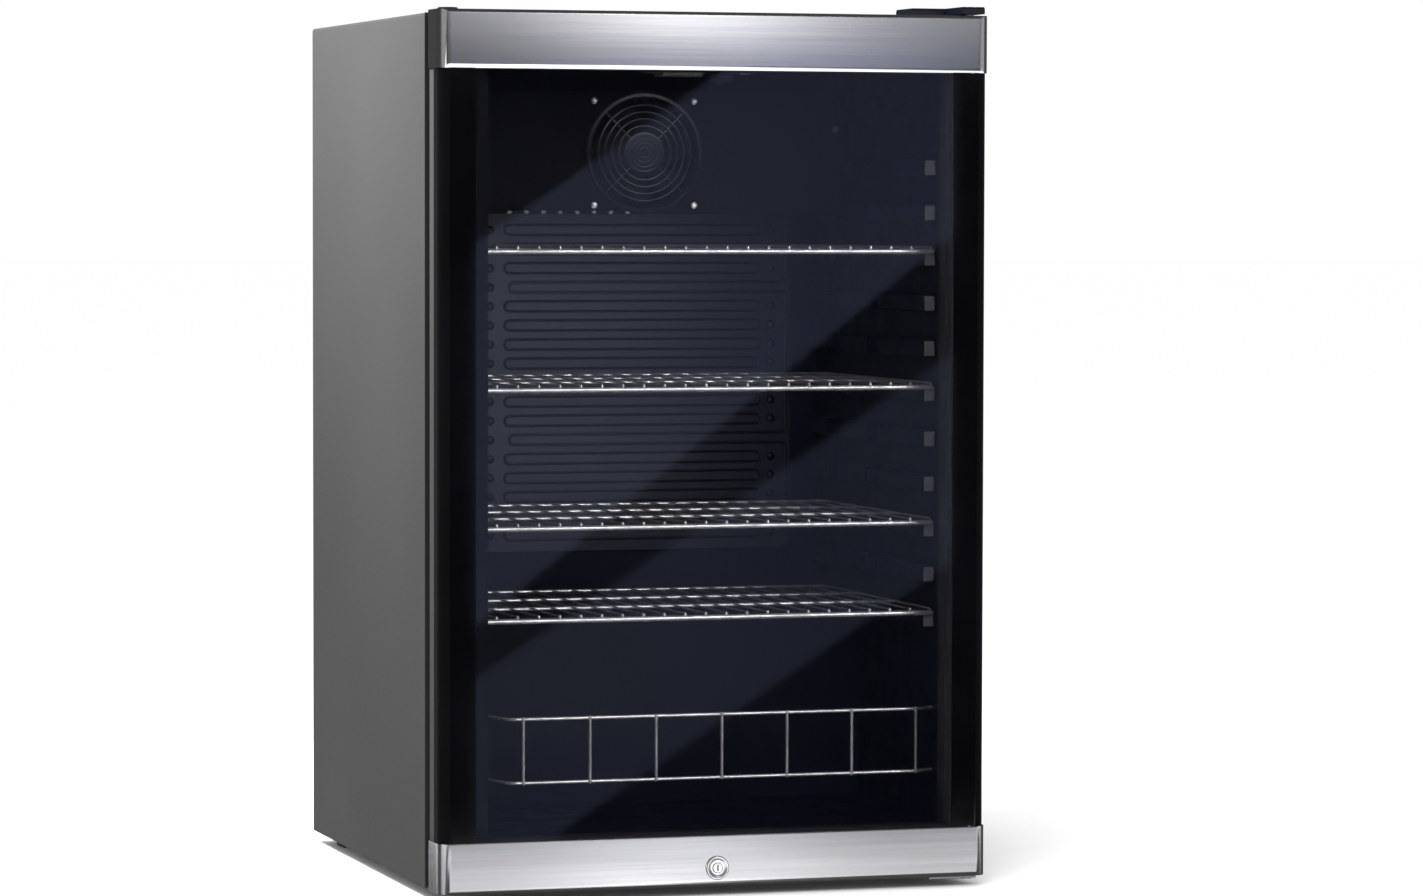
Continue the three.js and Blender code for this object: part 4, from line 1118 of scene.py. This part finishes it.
def add_camera():
    """The photo's viewing angle: from the left, a little above the middle, with a long lens."""
    data = bpy.data.cameras.new("camera")
    data.sensor_width = 36
    data.lens = CAMERA["lens"]
    data.clip_end = 100
    camera = bpy.data.objects.new("camera", data)
    bpy.context.scene.collection.objects.link(camera)
    yaw, pitch, roll = (math.radians(CAMERA[name]) for name in ("yaw", "pitch", "roll"))
    forward = Vector((math.sin(yaw) * math.cos(pitch), math.cos(yaw) * math.cos(pitch), math.sin(pitch)))
    level = Vector((math.cos(yaw), -math.sin(yaw), 0))
    upright = level.cross(forward)
    right = level * math.cos(roll) + upright * math.sin(roll)
    up = upright * math.cos(roll) - level * math.sin(roll)
    turn = Matrix((right, up, -forward)).transposed().to_4x4()
    x, y, z = CAMERA["place"]
    camera.matrix_world = Matrix.Translation((x, FRONT_Y + y, z)) @ turn
    bpy.context.scene.camera = camera


def stage_plane(name, corners, material):
    mesh = bpy.data.meshes.new(name)
    mesh.from_pydata([tuple(c) for c in corners], [], [(0, 1, 2, 3)])
    mesh.materials.append(material)
    plane = bpy.data.objects.new(name, mesh)
    bpy.context.scene.collection.objects.link(plane)
    return plane


FLOOR_SIZE = 60  # metres from its middle to each side


def add_floor():
    look = Look("pale_floor", (0.99, 0.99, 0.99), 0.9, Specular_IOR_Level=0.0)
    grain = look.noise(30, 3)
    look.color_between(look.remapped(grain, 0, 1), (0.985, 0.985, 0.985), (1.0, 1.0, 1.0))
    size = FLOOR_SIZE
    corners = [(-size, -size, 0), (size, -size, 0), (size, size, 0), (-size, size, 0)]
    floor = stage_plane("floor", corners, look.material)
    floor.visible_glossy = False


WORLD = {"soft": 1.0, "mirrored": 0.08}  # strengths


def add_world():
    """White all round for the camera and for soft light; darker where surfaces mirror it."""
    world = bpy.data.worlds.new("studio")
    bpy.context.scene.world = world
    world.use_nodes = True
    tree = world.node_tree
    background = tree.nodes["Background"]
    background.inputs["Color"].default_value = (1, 1, 1, 1)
    path = tree.nodes.new("ShaderNodeLightPath")
    strength = tree.nodes.new("ShaderNodeMapRange")
    strength.inputs["To Min"].default_value = WORLD["soft"]
    strength.inputs["To Max"].default_value = WORLD["mirrored"]
    tree.links.new(path.outputs["Is Glossy Ray"], strength.inputs["Value"])
    tree.links.new(strength.outputs["Result"], background.inputs["Strength"])


CARD_Y = -1600  # in front of the door
CARD_SHEET = {"half": 0.75, "low": -0.5, "high": 1.4}
# A stripe's upper and lower edge, each as its height at x = 0 in millimetres and its slope; its brightness.
STRIPES = (((768, 0.675), (434, 0.777), 0.46), ((352, 0.638), (152, 0.635), 0.3))
# Places are metres on the glass. The parts above and under the glass are for the trims: an even brightness,
# and what is added to it at the centre.
CARD = {
    "half_x": 0.24,
    "bottom": 0.045,
    "top": 0.775,
    "blur": 0.006,
    "stripe_color": (0.52, 0.6, 1.0),
    "dark": 0.002,
    "above": (0.05, 5.3),
    "under": (0.8, 3.2),
    "centre": -0.035,
    "spread": 0.14,
    "outer_from": 0.265,
    "outer": 0.35,
}


def stripes_level(look, across, upward):
    """Brightness of the diagonal stripes: each is switched on at its upper edge and off at its lower one."""
    level = 0.0
    for upper, lower, brightness in STRIPES:
        for (height, slope), sign in ((upper, 1), (lower, -1)):
            below = look.math("SUBTRACT", look.math("MULTIPLY", across, slope), upward)
            edge = -height * MM
            span = {"Value": below, "From Min": edge - CARD["blur"], "From Max": edge + CARD["blur"]}
            step = look.node("ShaderNodeMapRange", span, interpolation_type="SMOOTHSTEP").outputs["Result"]
            level = look.math("ADD", look.math("MULTIPLY", step, sign * brightness), level)
    return level


def stripe_card_look():
    """Bluish diagonal stripes on black, with a white part above and below them."""
    look = Look("reflection_card", (0, 0, 0), 1.0)
    split = look.node("ShaderNodeSeparateXYZ", {"Vector": look.coordinates})
    across, upward = split.outputs["X"], split.outputs["Z"]
    aside = look.math("ABSOLUTE", across, 0)
    on_glass = look.math("LESS_THAN", aside, CARD["half_x"])
    level = look.math("MULTIPLY", stripes_level(look, across, upward), on_glass)
    level = look.math("ADD", level, CARD["dark"])
    off_centre = look.math("ABSOLUTE", look.math("SUBTRACT", across, CARD["centre"]), 0)
    fade = look.node("ShaderNodeMapRange", {"Value": off_centre, "From Max": CARD["spread"]})
    peak = look.math("SUBTRACT", 1.0, fade.outputs["Result"])
    outside = look.math("GREATER_THAN", aside, CARD["outer_from"])
    above = look.math("GREATER_THAN", upward, CARD["top"])
    under = look.math("LESS_THAN", upward, CARD["bottom"])
    for part, (even, height) in ((above, CARD["above"]), (under, CARD["under"])):
        here = look.math("ADD", look.math("MULTIPLY", peak, height), even)
        here = look.math("ADD", here, look.math("MULTIPLY", outside, CARD["outer"]))
        level = look.math("ADD", level, look.math("MULTIPLY", here, part))
    tint = look.mixed(look.math("ADD", above, under), CARD["stripe_color"], (1, 1, 1))
    look.tree.links.new(tint, look.shader.inputs["Emission Color"])
    look.tree.links.new(level, look.shader.inputs["Emission Strength"])
    return look.material


def add_stripe_card():
    """The card stands where the glass mirrors it to the camera, and only mirrors see it.

    Its own coordinates are those of the point on the glass that mirrors each point of the card.
    """
    camera = FROM_ROW @ bpy.context.scene.camera.matrix_world.translation
    glass_y = extent("outer_glass")[0].y
    mirrored = Vector((camera.x, 2 * glass_y - camera.y, camera.z))
    grow = (CARD_Y - mirrored.y) / (glass_y - mirrored.y)
    half, low, high = CARD_SHEET["half"], CARD_SHEET["low"], CARD_SHEET["high"]
    corners = [(-half, 0, low), (half, 0, low), (half, 0, high), (-half, 0, high)]
    card = stage_plane("reflection_card", corners, stripe_card_look())
    place = Vector((mirrored.x * (1 - grow), CARD_Y, mirrored.z * (1 - grow)))
    card.matrix_world = TO_ROW @ Matrix.Translation(place) @ Matrix.Scale(grow / MM, 4)
    for kind in ("camera", "diffuse", "transmission", "volume_scatter", "shadow"):
        setattr(card, f"visible_{kind}", False)


TRIMS = ("top_trim", "bottom_trim")
WIREWORK = ("shelf_", "bottle_guard", "fan_screw", "housing_screw", "edge_rivets")
# Each light's place, target, size, power and, where it falls on some pieces alone, how their names begin.
LIGHTS = {
    "key": ((-0.8, 0.05, 1.25), (-0.27, 0.02, 0.75), (0.4, 0.4), 42, ()),
    "front": ((-1.2, -3.5, 2.2), (0, 0, 0.45), (2.0, 1.4), 130, ()),
    "raking": ((0.95, -2.9, 1.3), (0.1, -0.2, 0.4), (0.8, 2.0), 240, WIREWORK),
    "room_top": ((0, -0.02, 0.8), (0, 0.14, 0.45), (0.4, 0.06), 0.7, ("fan_guard",)),
    "room_front": ((0, -0.2, 0.5), (0, 0.16, 0.45), (0.4, 0.4), 0.8, ("evaporator",)),
    "trim_foot": ((0.27, -0.9, 0.15), (0, -0.33, 0.8), (1.6, 0.5), 4, ("top_trim",)),
    "trim_top": ((0.3, -0.45, 1.9), (0, -0.33, 0.05), (1.2, 0.6), 1, ("bottom_trim",)),
    "trim_left": ((-2.2, -1.9, 0.45), (-0.27, -0.33, 0.45), (2.6, 1.6), 6, TRIMS),
    "trim_right": ((2.2, -1.6, 0.45), (0.27, -0.33, 0.45), (2.6, 1.6), 6, TRIMS),
    "trim_side": ((-1.6, 1.6, 0.3), (-0.27, -0.3, 0.1), (1.6, 1.0), 12, ("bottom_trim",)),
    "corner_left": ((-1.8, -1.6, 0.25), (-0.27, -0.33, 0.05), (2.4, 0.5), 16, ("bottom_trim",)),
    "corner_right": ((1.8, -1.6, 0.25), (0.27, -0.33, 0.05), (2.4, 0.5), 14, ("bottom_trim",)),
}
UNMIRRORED = ("key", "front")  # no surface mirrors these two


def pieces_named(group_name, beginnings):
    """A collection of the pieces whose names begin in one of these ways."""
    group = bpy.data.collections.new(group_name)
    for piece in bpy.context.scene.objects:
        if piece.type == "MESH" and piece.name.startswith(beginnings):
            group.objects.link(piece)
    return group


def add_area_light(name, place, target, size, power, beginnings):
    """A soft box that faces its target, and falls on all pieces or on the named ones alone."""
    data = bpy.data.lights.new(name, "AREA")
    data.shape = "RECTANGLE"
    data.size, data.size_y = size
    data.energy = power
    light = bpy.data.objects.new(name, data)
    bpy.context.scene.collection.objects.link(light)
    if beginnings:
        light.light_linking.receiver_collection = pieces_named(f"lit by {name}", beginnings)
    light.location = place
    light.rotation_euler = (Vector(target) - Vector(place)).to_track_quat("-Z", "Y").to_euler()
    light.visible_camera = False
    light.visible_glossy = name not in UNMIRRORED


def add_studio():
    add_world()
    add_floor()
    add_stripe_card()
    for name, settings in LIGHTS.items():
        add_area_light(name, *settings)
    bpy.context.scene.view_settings.view_transform = "Standard"


# ---- Assembly ----

add_camera()
for node, slot in SLOT_OF.items():
    cad = frame["nodes"][node]
    cad.data.materials.clear()
    cad.data.materials.append(MATERIALS[slot])
inner_pane = frame["nodes"]["inner_glass"].data
inner_pane.materials[0] = tinted_glass("clear_glass", COLORS["tinted_glass"], 0.06, 1.5)

add_softened_parts()
add_liner()
add_ledge_front_highlights()
add_back_panel()
add_evaporator()
add_housing()
add_fan_guard()
add_fan_blades()
add_screws()
add_lamp_and_controls()
for number in range(1, 5):
    add_shelf(f"shelf_{number}")
add_bottle_guard()
add_door()
add_compressor()
add_condenser()
add_pipework()
add_studio()
